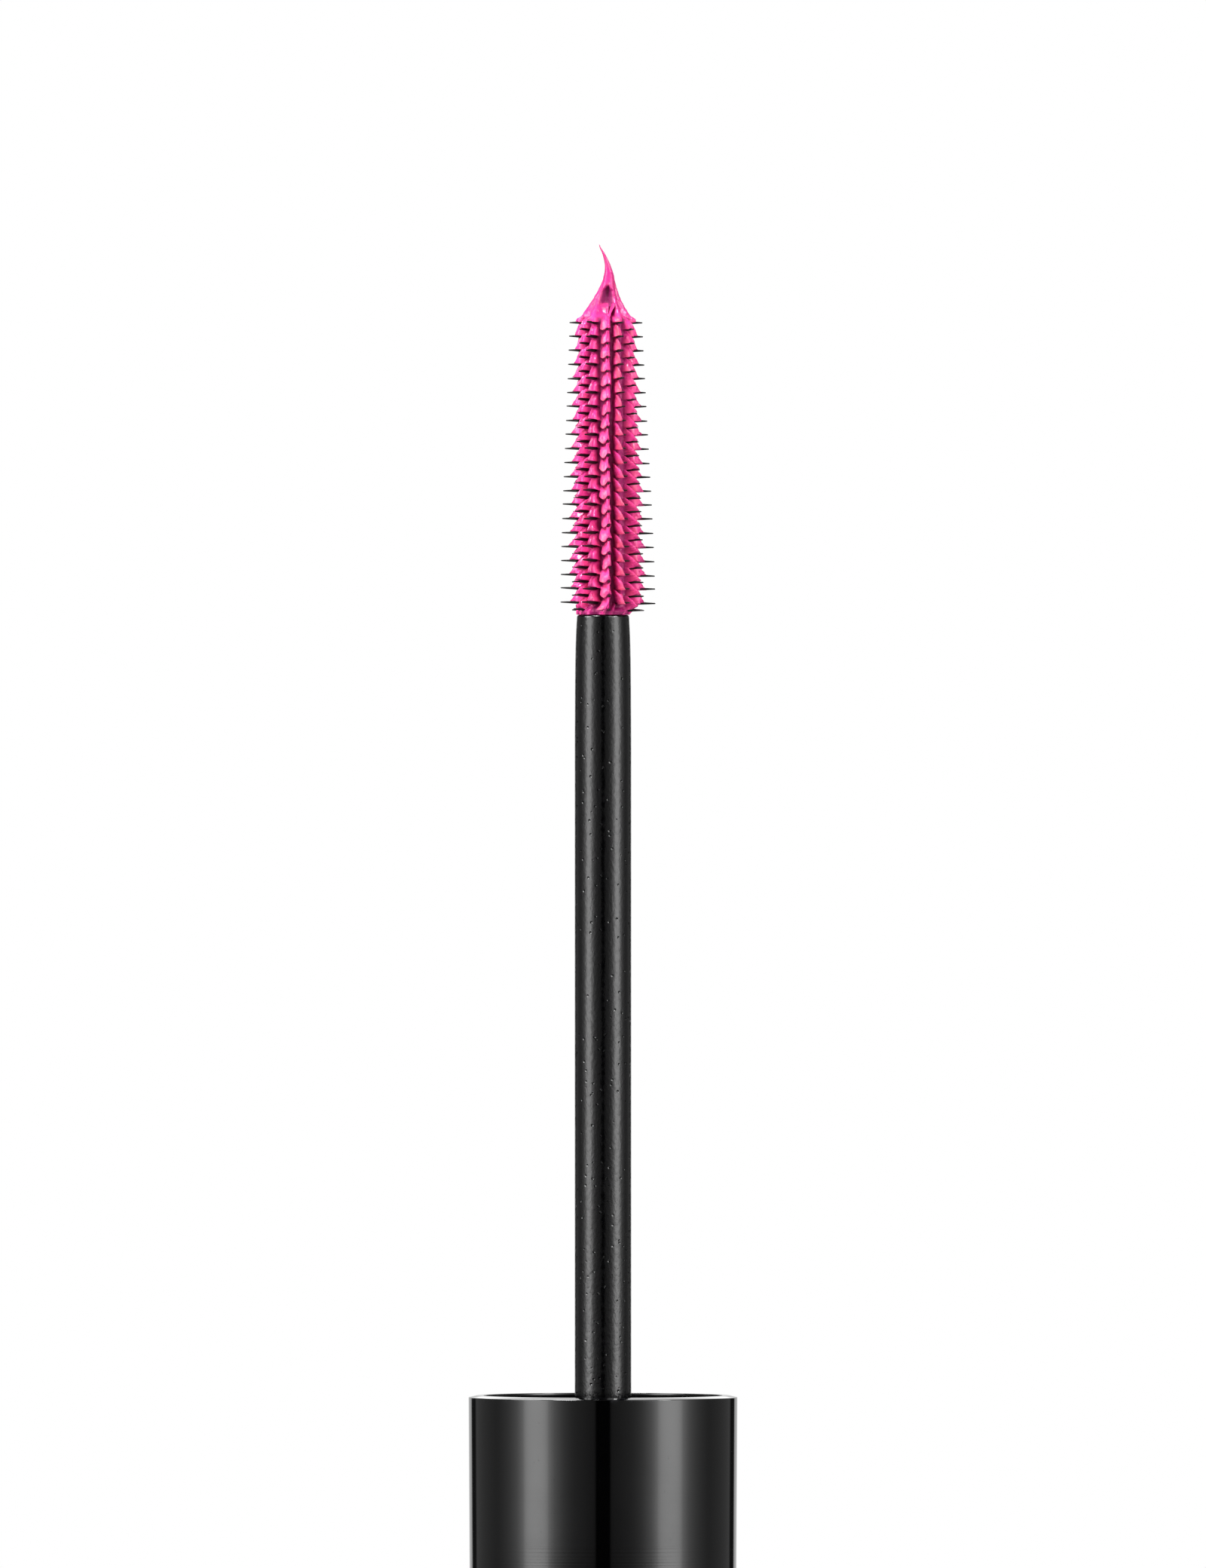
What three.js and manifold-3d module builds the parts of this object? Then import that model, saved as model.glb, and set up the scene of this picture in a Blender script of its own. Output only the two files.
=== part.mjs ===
// A mascara applicator: a round cap with its mouth up, the stem that stands in it, and a moulded
// brush of twelve bristle rows loaded with mascara. Millimetres, +Z up, standing on the closed end
// of the cap at z = 0. The eye looks along +Y, so -Y is the front and +X is to the right.
import * as THREE from "three";
import { mergeVertices } from "three/addons/utils/BufferGeometryUtils.js";
import Module from "manifold-3d";

const wasm = await Module();
wasm.setup();

// Overcap: a glossy moulded shell that narrows a little towards its closed end.
const CAP_HEIGHT = 52;
const CAP_RIM_RADIUS = 9.5;
const CAP_END_RADIUS = 9.2;
const CAP_WALL = 1.05;
const CAP_END_THICKNESS = 1.6;
const CAP_END_ROUNDING = 0.6;
const RIM_FLAT_WIDTH = 0.5; // the flat part of the rim, next to the bore
const RIM_CROWN_DROP = 0.12; // how far the rim falls away to its outer edge
const CAP_SEGMENTS = 48;
const STOP_RIBS = 8;
const STOP_RIB_WIDTH = 0.9;
const STOP_RIB_INNER_RADIUS = 7.25;

// Inner cap: the threaded liner that screws onto a tube's neck and holds the stem.
const LINER_MOUTH_Z = CAP_HEIGHT - 2;
const LINER_LENGTH = 30;
const LINER_GAP = 0.08; // between liner and overcap
const LINER_SKIRT_INNER_RADIUS = 7.2;
const LINER_SEGMENTS = 40;
const WELL_RADIUS = 7.15;
const WELL_DEPTH = 13;
const WELL_FLOOR_THICKNESS = 2;
const MOUTH_CHAMFER = 0.35;
const SOCKET_RADIUS = 2.4;
const SOCKET_BOSS_RADIUS = 4;
const SOCKET_LENGTH = 8.5;
const SOCKET_RIBS = 6;
const SOCKET_RIB_WIDTH = 0.8;
const THREAD_INNER_RADIUS = 6.65;
const THREAD_PITCH = 3.2;
const THREAD_TURNS = 1.75;
const THREAD_TOP_BELOW_MOUTH = 1.8;
const THREAD_CREST_HALF_HEIGHT = 0.3;
const THREAD_ROOT_HALF_HEIGHT = 0.65;
const THREAD_STEPS_PER_TURN = 24;

// Balance weight: a steel slug at the closed end of the cap.
const WEIGHT_RADIUS = 7;
const WEIGHT_THICKNESS = 9;
const WEIGHT_CHAMFER = 0.5;

// Sealing washer: lies on the floor of the liner's well, round the stem.
const WASHER_INNER_RADIUS = 3.1;
const WASHER_OUTER_RADIUS = 6.5;
const WASHER_THICKNESS = 0.8;

// Stem: a rod with a barbed tail in the liner's socket and a slightly narrowed brush end.
const STEM_RADIUS = 2;
const STEM_TOP_Z = 107.15;
const STEM_END_RADIUS = 1.85;
const STEM_NECK_RADIUS = 1.96;
const STEM_NARROWING = 9; // length over which the stem narrows towards the brush
const STEM_EDGE_ROUNDING = 0.15;
const STEM_FLANGE_RADIUS = 2.9;
const STEM_FLANGE_THICKNESS = 1;
const TAIL_RADIUS = 2;
const TAIL_BARB_RADIUS = 2.3;
const TAIL_BARBS = 3;
const TAIL_LENGTH = 7.5;
const BRUSH_BORE_RADIUS = 1.15;
const BRUSH_BORE_DEPTH = 7.4;
const STEM_SEGMENTS = 24;

// Brush: a stiff core on a peg, and an overmoulded sleeve that carries the bristles.
const PEG_RADIUS = 1.05;
const PEG_LENGTH = 7.2;
const CORE_RADIUS = 0.8;
const CORE_SEGMENTS = 16;
const SLEEVE_INNER_RADIUS = 0.86;
const SLEEVE_RADIUS = 1.25;
const SLEEVE_END_THICKNESS = 0.4;
const SLEEVE_SEGMENTS = 24;
const ROWS = 12;
const BRISTLES_PER_ROW = 21;
const BRISTLE_PITCH = 0.99;
const LOWEST_BRISTLE_Z = STEM_TOP_Z + 0.36;
const BRISTLE_ROOT_HALF_WIDTH = 0.17;
const BRISTLE_SIDES = 4;
const BRISTLE_ROOT_DEPTH = 0.2; // how far a bristle's root reaches into the sleeve wall
const REACH_AT_TIP = 2.58; // from the brush axis to the tips of the long bristles, at its far end
const REACH_AT_BASE = 3.37;
const REACH_BULGE = 0.11; // how far the reach swells past a straight taper, as a share of the taper
const SHORT_ROW_SHARE = 0.855; // reach of every other row
const BRUSH_OFFSET = 0.36; // the brush sits this far to the right of the stem's axis
const BRUSH_LEAN = 0.0075; // and leans back to the left, in radians

// Mascara on the brush: strips between the bristle rows that run together into a drawn-out peak.
const LOAD_INNER_RADIUS = 1.33;
const LOAD_RADIUS = 1.95;
const LOAD_FOOT_RADIUS = 1.6; // where the load meets the stem
const LOAD_FOOT_HEIGHT = 0.8;
const SLOT_WIDTH = 0.46; // the room left for each bristle row
const PEAK_BASE_Z = 128.25;
const PEAK_TOP_Z = 133.34;
const PEAK_FOOT_RADIUS = 1.72;
const PEAK_DECAY = 3.1;
const PEAK_RINGS = 20;
const PEAK_SEGMENTS = 20;

const materials = {
  overcap: new THREE.MeshStandardMaterial({ color: 0x101011, roughness: 0.12, metalness: 0 }),
  liner: new THREE.MeshStandardMaterial({ color: 0x17181a, roughness: 0.45, metalness: 0 }),
  steel: new THREE.MeshStandardMaterial({ color: 0x9a9da1, roughness: 0.35, metalness: 1 }),
  washer: new THREE.MeshStandardMaterial({ color: 0xe6e3dc, roughness: 0.6, metalness: 0 }),
  stem: new THREE.MeshStandardMaterial({ color: 0x141414, roughness: 0.22, metalness: 0 }),
  core: new THREE.MeshStandardMaterial({ color: 0x1b1b1c, roughness: 0.5, metalness: 0 }),
  bristles: new THREE.MeshStandardMaterial({ color: 0x161315, roughness: 0.4, metalness: 0 }),
  mascara: new THREE.MeshStandardMaterial({ color: 0xf0288f, roughness: 0.15, metalness: 0 }),
};

// A body of revolution about +Z from a profile of [radius, height] points.
function turned(profile, segments) {
  const points = profile.map(([radius, height]) => new THREE.Vector2(radius, height));
  return new THREE.LatheGeometry(points, segments).rotateX(Math.PI / 2);
}

// A closed surface through rings of the same number of points, from the lowest ring to the highest.
// Both ends are closed with a fan, and the rings run anticlockwise seen from their far end.
function lofted(rings) {
  const count = rings[0].length;
  const sumOf = (ring) => ring.reduce((sum, point) => sum.add(point), new THREE.Vector3());
  const middle = (ring) => sumOf(ring).divideScalar(count);
  const points = [...rings.flat(), middle(rings[0]), middle(rings.at(-1))];
  const firstMiddle = rings.length * count;
  const lastRing = (rings.length - 1) * count;
  const faces = [];
  for (let i = 0; i < count; i++) {
    const next = (i + 1) % count;
    faces.push(firstMiddle, next, i);
    faces.push(firstMiddle + 1, lastRing + i, lastRing + next);
    for (let ring = 0; ring < lastRing; ring += count) {
      faces.push(ring + i, ring + next, ring + count + next);
      faces.push(ring + i, ring + count + next, ring + count + i);
    }
  }
  return new THREE.BufferGeometry().setFromPoints(points).setIndex(faces);
}

// A geometry as a manifold-3d solid, and a solid back as a geometry.
function toSolid(geometry) {
  const bare = new THREE.BufferGeometry().setAttribute("position", geometry.getAttribute("position"));
  if (geometry.index) bare.setIndex(geometry.index);
  const merged = mergeVertices(bare, 1e-4);
  const vertProperties = new Float32Array(merged.attributes.position.array);
  const triVerts = new Uint32Array(merged.index.array);
  return new wasm.Manifold(new wasm.Mesh({ numProp: 3, vertProperties, triVerts }));
}

function toGeometry(solid) {
  const { vertProperties, triVerts } = solid.getMesh();
  return new THREE.BufferGeometry()
    .setAttribute("position", new THREE.BufferAttribute(vertProperties, 3))
    .setIndex(new THREE.BufferAttribute(triVerts, 1));
}

function joined(...geometries) {
  return toGeometry(geometries.map(toSolid).reduce((whole, piece) => whole.add(piece)));
}

// An upright plate that runs outwards from the axis: a rib, or the cutter of a slot.
function radialPlate(innerRadius, outerRadius, width, bottom, top, angle) {
  return new THREE.BoxGeometry(outerRadius - innerRadius, width, top - bottom)
    .translate((innerRadius + outerRadius) / 2, 0, (bottom + top) / 2)
    .rotateZ(angle);
}

function capOuterRadius(z) {
  return THREE.MathUtils.lerp(CAP_END_RADIUS, CAP_RIM_RADIUS, z / CAP_HEIGHT);
}

function capInnerRadius(z) {
  return capOuterRadius(z) - CAP_WALL;
}

const LINER_BOTTOM_Z = LINER_MOUTH_Z - LINER_LENGTH;
const WELL_FLOOR_Z = LINER_MOUTH_Z - WELL_DEPTH;

function overcap() {
  const floor = CAP_END_THICKNESS;
  const rimFlatRadius = capInnerRadius(CAP_HEIGHT) + RIM_FLAT_WIDTH;
  const shell = turned(
    [
      [0, 0],
      [CAP_END_RADIUS - CAP_END_ROUNDING, 0],
      [CAP_END_RADIUS - 0.18 * CAP_END_ROUNDING, 0.3 * CAP_END_ROUNDING],
      [capOuterRadius(CAP_END_ROUNDING), CAP_END_ROUNDING],
      [capOuterRadius(CAP_HEIGHT), CAP_HEIGHT - RIM_CROWN_DROP],
      [rimFlatRadius, CAP_HEIGHT],
      [capInnerRadius(CAP_HEIGHT), CAP_HEIGHT],
      [capInnerRadius(floor), floor],
      [0, floor],
    ],
    CAP_SEGMENTS,
  );
  const ribs = [];
  for (let i = 0; i < STOP_RIBS; i++) {
    const angle = (i * 2 * Math.PI) / STOP_RIBS;
    const top = LINER_BOTTOM_Z - 0.2;
    const root = capInnerRadius(floor) + CAP_WALL / 3;
    ribs.push(radialPlate(STOP_RIB_INNER_RADIUS, root, STOP_RIB_WIDTH, floor / 2, top, angle));
  }
  return joined(shell, ...ribs);
}

// The liner's thread: one bead wound round the well, running out to nothing at both ends.
function threadBead() {
  const steps = Math.round(THREAD_TURNS * THREAD_STEPS_PER_TURN);
  const rootRadius = WELL_RADIUS + 0.2;
  const topZ = LINER_MOUTH_Z - THREAD_TOP_BELOW_MOUTH;
  const rings = [];
  for (let i = 0; i <= steps; i++) {
    const angle = (i * 2 * Math.PI) / THREAD_STEPS_PER_TURN;
    const z = topZ - THREAD_PITCH * (THREAD_TURNS - i / THREAD_STEPS_PER_TURN);
    const runOut = Math.min(1, (i + 0.2) / 3, (steps - i + 0.2) / 3);
    const crestRadius = THREE.MathUtils.lerp(WELL_RADIUS + 0.1, THREAD_INNER_RADIUS, runOut);
    const across = new THREE.Vector3(Math.cos(angle), Math.sin(angle), 0);
    const at = (radius, height) => across.clone().multiplyScalar(radius).setZ(height);
    rings.push([
      at(crestRadius, z - THREAD_CREST_HALF_HEIGHT),
      at(rootRadius, z - THREAD_ROOT_HALF_HEIGHT),
      at(rootRadius, z + THREAD_ROOT_HALF_HEIGHT),
      at(crestRadius, z + THREAD_CREST_HALF_HEIGHT),
    ].reverse());
  }
  return lofted(rings);
}

function innerCap() {
  const bottomRadius = capInnerRadius(LINER_BOTTOM_Z) - LINER_GAP;
  const mouthRadius = capInnerRadius(LINER_MOUTH_Z) - LINER_GAP;
  const underFloor = WELL_FLOOR_Z - WELL_FLOOR_THICKNESS;
  const socketBottom = WELL_FLOOR_Z - SOCKET_LENGTH;
  const profile = [
    [bottomRadius, LINER_BOTTOM_Z],
    [mouthRadius, LINER_MOUTH_Z - MOUTH_CHAMFER],
    [mouthRadius - MOUTH_CHAMFER, LINER_MOUTH_Z],
    [WELL_RADIUS + MOUTH_CHAMFER, LINER_MOUTH_Z],
    [WELL_RADIUS, LINER_MOUTH_Z - MOUTH_CHAMFER],
    [WELL_RADIUS, WELL_FLOOR_Z],
    [SOCKET_RADIUS, WELL_FLOOR_Z],
    [SOCKET_RADIUS, socketBottom],
    [SOCKET_BOSS_RADIUS, socketBottom],
    [SOCKET_BOSS_RADIUS, underFloor],
    [LINER_SKIRT_INNER_RADIUS, underFloor],
    [LINER_SKIRT_INNER_RADIUS, LINER_BOTTOM_Z],
  ];
  const body = turned([...profile, profile[0]], LINER_SEGMENTS);
  const ribs = [];
  for (let i = 0; i < SOCKET_RIBS; i++) {
    const angle = (i * 2 * Math.PI) / SOCKET_RIBS;
    const inner = (SOCKET_RADIUS + SOCKET_BOSS_RADIUS) / 2;
    const outer = LINER_SKIRT_INNER_RADIUS + 0.4;
    ribs.push(radialPlate(inner, outer, SOCKET_RIB_WIDTH, socketBottom, underFloor + 0.5, angle));
  }
  return joined(body, threadBead(), ...ribs);
}

function balanceWeight() {
  const bottom = CAP_END_THICKNESS + 0.1;
  const top = bottom + WEIGHT_THICKNESS;
  return turned(
    [
      [0, bottom],
      [WEIGHT_RADIUS - WEIGHT_CHAMFER, bottom],
      [WEIGHT_RADIUS, bottom + WEIGHT_CHAMFER],
      [WEIGHT_RADIUS, top - WEIGHT_CHAMFER],
      [WEIGHT_RADIUS - WEIGHT_CHAMFER, top],
      [0, top],
    ],
    CAP_SEGMENTS,
  );
}

function sealWasher() {
  const bottom = WELL_FLOOR_Z + 0.06;
  const top = bottom + WASHER_THICKNESS;
  const profile = [
    [WASHER_INNER_RADIUS, bottom],
    [WASHER_OUTER_RADIUS, bottom],
    [WASHER_OUTER_RADIUS, top],
    [WASHER_INNER_RADIUS, top],
  ];
  return turned([...profile, profile[0]], LINER_SEGMENTS);
}

function stem() {
  const flangeBottom = WELL_FLOOR_Z + 0.1;
  const flangeTop = flangeBottom + STEM_FLANGE_THICKNESS;
  const tailBottom = flangeBottom - TAIL_LENGTH;
  const barbPitch = (TAIL_LENGTH - 0.7) / TAIL_BARBS;
  const profile = [
    [0, tailBottom],
    [TAIL_RADIUS - 0.4, tailBottom],
  ];
  for (let i = 0; i < TAIL_BARBS; i++) {
    const foot = tailBottom + i * barbPitch;
    profile.push([TAIL_BARB_RADIUS, foot + 0.55 * barbPitch]);
    profile.push([TAIL_RADIUS - 0.1, foot + 0.65 * barbPitch]);
  }
  const boreBottom = STEM_TOP_Z - BRUSH_BORE_DEPTH;
  profile.push(
    [TAIL_RADIUS - 0.1, flangeBottom],
    [STEM_FLANGE_RADIUS, flangeBottom],
    [STEM_FLANGE_RADIUS, flangeTop],
    [STEM_RADIUS, flangeTop + STEM_FLANGE_RADIUS - STEM_RADIUS],
    [STEM_RADIUS, STEM_TOP_Z - STEM_NARROWING],
    [STEM_NECK_RADIUS, STEM_TOP_Z - STEM_NARROWING / 3],
    [STEM_END_RADIUS, STEM_TOP_Z - STEM_EDGE_ROUNDING],
    [STEM_END_RADIUS - STEM_EDGE_ROUNDING, STEM_TOP_Z],
    [BRUSH_BORE_RADIUS, STEM_TOP_Z],
    [BRUSH_BORE_RADIUS, boreBottom],
    [0, boreBottom],
  );
  return turned(profile, STEM_SEGMENTS);
}

const SLEEVE_BOTTOM_Z = STEM_TOP_Z + 0.08;
const SLEEVE_TOP_Z = PEAK_BASE_Z - 0.12;

function brushCore() {
  const pegBottom = STEM_TOP_Z - PEG_LENGTH;
  const coreTop = SLEEVE_TOP_Z - SLEEVE_END_THICKNESS - 0.05;
  const peg = turned(
    [
      [0, pegBottom],
      [PEG_RADIUS - 0.25, pegBottom],
      [PEG_RADIUS, pegBottom + 0.5],
      [PEG_RADIUS, STEM_TOP_Z],
      [0, STEM_TOP_Z],
    ],
    CORE_SEGMENTS,
  );
  const core = turned(
    [
      [0, STEM_TOP_Z - 1],
      [PEG_RADIUS - BRUSH_OFFSET - 0.02, STEM_TOP_Z - 1],
      [PEG_RADIUS - BRUSH_OFFSET - 0.02, STEM_TOP_Z],
      [CORE_RADIUS, STEM_TOP_Z + 0.2],
      [CORE_RADIUS, coreTop - CORE_RADIUS / 2],
      [CORE_RADIUS / 2, coreTop],
      [0, coreTop],
    ],
    CORE_SEGMENTS,
  );
  return joined(peg, seatedOnStem(core));
}

// Moves a piece made round the stem's axis to where the brush sits.
function seatedOnStem(geometry) {
  return geometry
    .translate(0, 0, -STEM_TOP_Z)
    .rotateY(-BRUSH_LEAN)
    .translate(BRUSH_OFFSET, 0, STEM_TOP_Z);
}

// From the brush axis to the tip of a long bristle that stands at this height.
function bristleReach(z) {
  const length = (BRISTLES_PER_ROW - 0.5) * BRISTLE_PITCH;
  const down = 1 - (z - LOWEST_BRISTLE_Z) / length;
  const swell = REACH_BULGE * Math.sin(Math.PI * down ** 2);
  return THREE.MathUtils.lerp(REACH_AT_TIP, REACH_AT_BASE, down + swell);
}

function rowAngle(row) {
  return -Math.PI / 2 + (row * 2 * Math.PI) / ROWS;
}

// The front row and every second one from it are short, and half a pitch lower than the long rows.
function bristle(row, place) {
  const long = row % 2;
  const z = LOWEST_BRISTLE_Z + (place + long / 2) * BRISTLE_PITCH;
  const reach = bristleReach(z) * (long ? 1 : SHORT_ROW_SHARE);
  const root = SLEEVE_RADIUS - BRISTLE_ROOT_DEPTH;
  return new THREE.ConeGeometry(BRISTLE_ROOT_HALF_WIDTH, reach - root, BRISTLE_SIDES)
    .rotateZ(-Math.PI / 2)
    .translate((reach + root) / 2, 0, z)
    .rotateZ(rowAngle(row));
}

function bristleSleeve() {
  const profile = [
    [SLEEVE_INNER_RADIUS, SLEEVE_BOTTOM_Z],
    [SLEEVE_RADIUS, SLEEVE_BOTTOM_Z],
    [SLEEVE_RADIUS, SLEEVE_TOP_Z - SLEEVE_END_THICKNESS],
    [SLEEVE_RADIUS - SLEEVE_END_THICKNESS, SLEEVE_TOP_Z],
    [0, SLEEVE_TOP_Z],
    [0, SLEEVE_TOP_Z - SLEEVE_END_THICKNESS],
    [SLEEVE_INNER_RADIUS, SLEEVE_TOP_Z - SLEEVE_END_THICKNESS],
  ];
  const pieces = [turned([...profile, profile[0]], SLEEVE_SEGMENTS)];
  for (let row = 0; row < ROWS; row++)
    for (let place = 0; place < BRISTLES_PER_ROW; place++) pieces.push(bristle(row, place));
  return seatedOnStem(joined(...pieces));
}

// The drawn-out end of the load: up is 0 at its foot and 1 at its tip.
function peakRadius(up) {
  return PEAK_FOOT_RADIUS * Math.exp(-PEAK_DECAY * up ** 1.2) * Math.sqrt(1 - up ** 6);
}

// The middle line of the peak as [offset to the right, height as a share of the peak's].
const PEAK_LEAN = [
  [-0.01, 0],
  [0.07, 0.25],
  [0.24, 0.52],
  [0.22, 0.67],
  [0, 0.82],
  [-0.28, 0.94],
  [-0.52, 1],
];

function mascaraPeak() {
  const height = PEAK_TOP_Z - PEAK_BASE_Z;
  const line = new THREE.SplineCurve(PEAK_LEAN.map(([x, up]) => new THREE.Vector2(x, up)));
  const rings = [];
  for (let i = 0; i <= PEAK_RINGS; i++) {
    const centre = line.getPoint((0.99 * i) / PEAK_RINGS);
    const radius = peakRadius(centre.y);
    const ring = [];
    for (let k = 0; k < PEAK_SEGMENTS; k++) {
      const angle = (k * 2 * Math.PI) / PEAK_SEGMENTS;
      const x = centre.x + radius * Math.cos(angle);
      ring.push(new THREE.Vector3(x, radius * Math.sin(angle), PEAK_BASE_Z + height * centre.y));
    }
    rings.push(ring);
  }
  return lofted(rings);
}

// Strips of mascara between the bristle rows, hanging from the peak, with a slot round each row.
function mascaraLoad() {
  const bottom = SLEEVE_BOTTOM_Z + 0.05;
  const top = PEAK_BASE_Z + 0.1;
  const slotTop = PEAK_BASE_Z - 0.1;
  const profile = [
    [LOAD_INNER_RADIUS, bottom],
    [LOAD_FOOT_RADIUS, bottom],
    [LOAD_RADIUS, bottom + LOAD_FOOT_HEIGHT],
    [PEAK_FOOT_RADIUS - 0.06, top],
    [LOAD_INNER_RADIUS, top],
  ];
  let load = toSolid(turned([...profile, profile[0]], 2 * ROWS));
  for (let row = 0; row < ROWS; row++) {
    const angle = rowAngle(row);
    const slot = radialPlate(SLEEVE_RADIUS, 2 * LOAD_RADIUS, SLOT_WIDTH, bottom - 1, slotTop, angle);
    load = load.subtract(toSolid(slot));
  }
  return seatedOnStem(toGeometry(load.add(toSolid(mascaraPeak()))));
}

const applicator = new THREE.Group();
function addPiece(name, geometry, material) {
  const mesh = new THREE.Mesh(geometry, material);
  mesh.name = name;
  applicator.add(mesh);
}

addPiece("overcap", overcap(), materials.overcap);
addPiece("inner_cap", innerCap(), materials.liner);
addPiece("balance_weight", balanceWeight(), materials.steel);
addPiece("seal_washer", sealWasher(), materials.washer);
addPiece("stem", stem(), materials.stem);
addPiece("brush_core", brushCore(), materials.core);
addPiece("bristle_sleeve", bristleSleeve(), materials.bristles);
addPiece("mascara_load", mascaraLoad(), materials.mascara);

export default applicator;
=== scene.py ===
import math

import bmesh
import bpy
import numpy as np
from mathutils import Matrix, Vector, noise


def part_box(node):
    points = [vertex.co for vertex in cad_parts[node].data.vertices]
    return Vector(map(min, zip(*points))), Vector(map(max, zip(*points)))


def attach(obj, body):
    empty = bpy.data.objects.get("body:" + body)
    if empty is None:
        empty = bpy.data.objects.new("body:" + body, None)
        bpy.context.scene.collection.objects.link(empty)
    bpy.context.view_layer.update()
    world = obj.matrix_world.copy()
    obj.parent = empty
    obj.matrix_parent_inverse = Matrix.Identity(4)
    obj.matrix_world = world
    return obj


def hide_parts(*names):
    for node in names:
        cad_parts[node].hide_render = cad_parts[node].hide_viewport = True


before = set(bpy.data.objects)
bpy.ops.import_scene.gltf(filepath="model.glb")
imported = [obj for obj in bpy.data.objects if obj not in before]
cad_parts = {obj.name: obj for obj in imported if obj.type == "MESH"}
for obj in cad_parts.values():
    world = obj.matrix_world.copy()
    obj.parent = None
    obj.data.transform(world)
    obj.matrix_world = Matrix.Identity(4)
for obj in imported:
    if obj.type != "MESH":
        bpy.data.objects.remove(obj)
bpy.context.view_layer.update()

bl_info = {
    "name": "Mascara applicator",
    "version": (1, 0, 0),
    "blender": (4, 5, 0),
    "location": "View3D > Sidebar > Mascara",
    "description": "Builds a mascara cap with its stem, brush and load of mascara round a packed frame",
    "category": "Object",
}

MM = 0.001
FACES_ROUND = 256  # round the widest turned pieces
CAP_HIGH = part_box("overcap")[1]
LINER_LOW, LINER_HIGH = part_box("inner_cap")
WASHER_LOW, WASHER_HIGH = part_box("seal_washer")
STEM_LOW, STEM_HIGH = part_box("stem")
SLEEVE_LOW, SLEEVE_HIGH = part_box("bristle_sleeve")
LOAD_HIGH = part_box("mascara_load")[1]


def size(name, description, default):
    """A length property in metres, shown in the scene's units."""
    return bpy.props.FloatProperty(
        name=name, description=description, default=default, unit="LENGTH", precision=5)


def share(name, description, default):
    """A plain number between 0 and 1."""
    return bpy.props.FloatProperty(
        name=name, description=description, default=default, min=0, max=1, subtype="FACTOR")


def colour(name, description, default):
    """A colour property, as shares of red, green and blue light."""
    return bpy.props.FloatVectorProperty(
        name=name, description=description, default=default, min=0, max=1, size=3, subtype="COLOR")


class MascaraCapProperties(bpy.types.PropertyGroup):
    """Sizes and colours of the overcap, its liner and the washer"""
    rim_radius: size("Rim radius", "Outer radius at the cap's mouth", CAP_HIGH.x)
    end_radius: size("End radius", "Outer radius at the closed end, before its rounding", 9.2 * MM)
    wall: size("Wall", "Thickness of the overcap's wall", 1.05 * MM)
    end_thickness: size("End thickness", "Thickness of the closed end", 1.6 * MM)
    end_rounding: size("End rounding", "Radius of the edge of the closed end", 0.6 * MM)
    rim_flat: size("Rim flat", "Width of the flat part of the rim", 0.5 * MM)
    rim_drop: size("Rim drop", "How far the rim falls away to its outer edge", 0.12 * MM)
    well_radius: size("Well radius", "Radius of the liner's well", 7.15 * MM)
    thread_radius: size("Thread radius", "Inner radius of the thread's crest", 6.65 * MM)
    thread_pitch: size("Thread pitch", "Rise of the thread in one turn", 3.2 * MM)
    shell_colour: colour("Shell", "Colour of the glossy shell", (0.0003, 0.0003, 0.00035))
    liner_colour: colour("Liner", "Colour of the liner", (0.012, 0.012, 0.013))
    washer_colour: colour("Washer", "Colour of the sealing washer", (0.74, 0.72, 0.68))
    gloss: share("Shell roughness", "Roughness of the polished shell", 0.045)


class MascaraStemProperties(bpy.types.PropertyGroup):
    """Sizes and colours of the stem"""
    radius: size("Radius", "Radius of the stem's shank", 2.0 * MM)
    end_radius: size("End radius", "Radius where the brush begins", 1.85 * MM)
    narrowing: size("Narrowing", "Length over which the stem narrows", 9.0 * MM)
    flange_radius: size("Flange radius", "Radius of the flange on the washer", 2.9 * MM)
    bore_radius: size("Bore radius", "Radius of the hole that takes the brush's peg", 1.15 * MM)
    bore_depth: size("Bore depth", "Depth of that hole", 7.4 * MM)
    stem_colour: colour("Stem", "Colour of the stem", (0.0005, 0.0005, 0.0006))
    gloss: share("Stem roughness", "Roughness of the stem", 0.13)


class MascaraBrushProperties(bpy.types.PropertyGroup):
    """Sizes and colours of the bristle brush"""
    rows: bpy.props.IntProperty(name="Rows", description="Rows of bristles round the brush", default=12)
    row_length: bpy.props.IntProperty(
        name="Bristles in a row", description="Bristles along each row", default=21)
    pitch: size("Pitch", "Distance between bristles along a row", 0.99 * MM)
    lowest: size("Lowest bristle", "Height of a short row's lowest bristle", STEM_HIGH.z + 0.36 * MM)
    reach_tip: size("Reach at the far end", "From the axis to the tips at the far end", 2.58 * MM)
    reach_base: size("Reach at the base", "From the axis to the tips at the base", 3.37 * MM)
    bulge: share("Bulge", "How far the reach swells past a straight taper", 0.11)
    short_share: share("Short rows", "Reach of every second row", 0.855)
    root_radius: size("Root radius", "Radius of a bristle at its root", 0.17 * MM)
    tip_radius: size("Tip radius", "Radius of a bristle at its tip", 0.043 * MM)
    sleeve_radius: size("Sleeve radius", "Radius of the sleeve under the mascara", 1.25 * MM)
    offset: size("Offset", "How far the brush sits to the right of the stem's axis", 0.36 * MM)
    lean: bpy.props.FloatProperty(
        name="Lean", description="Lean of the brush back to the left", default=0.0075, subtype="ANGLE")
    skew: bpy.props.FloatProperty(
        name="Skew", description="How far short rows are turned to the right and long rows to the left",
        default=math.radians(2.4), subtype="ANGLE")
    droop_tip: share("Droop at the far end", "How much the right side hangs lower, for its width", 0.004)
    droop_base: share("Droop at the base", "How much the right side hangs lower, for its width", 0.017)
    bristle_colour: colour("Bristles", "Colour of the bristles", (0.0045, 0.004, 0.004))


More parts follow.
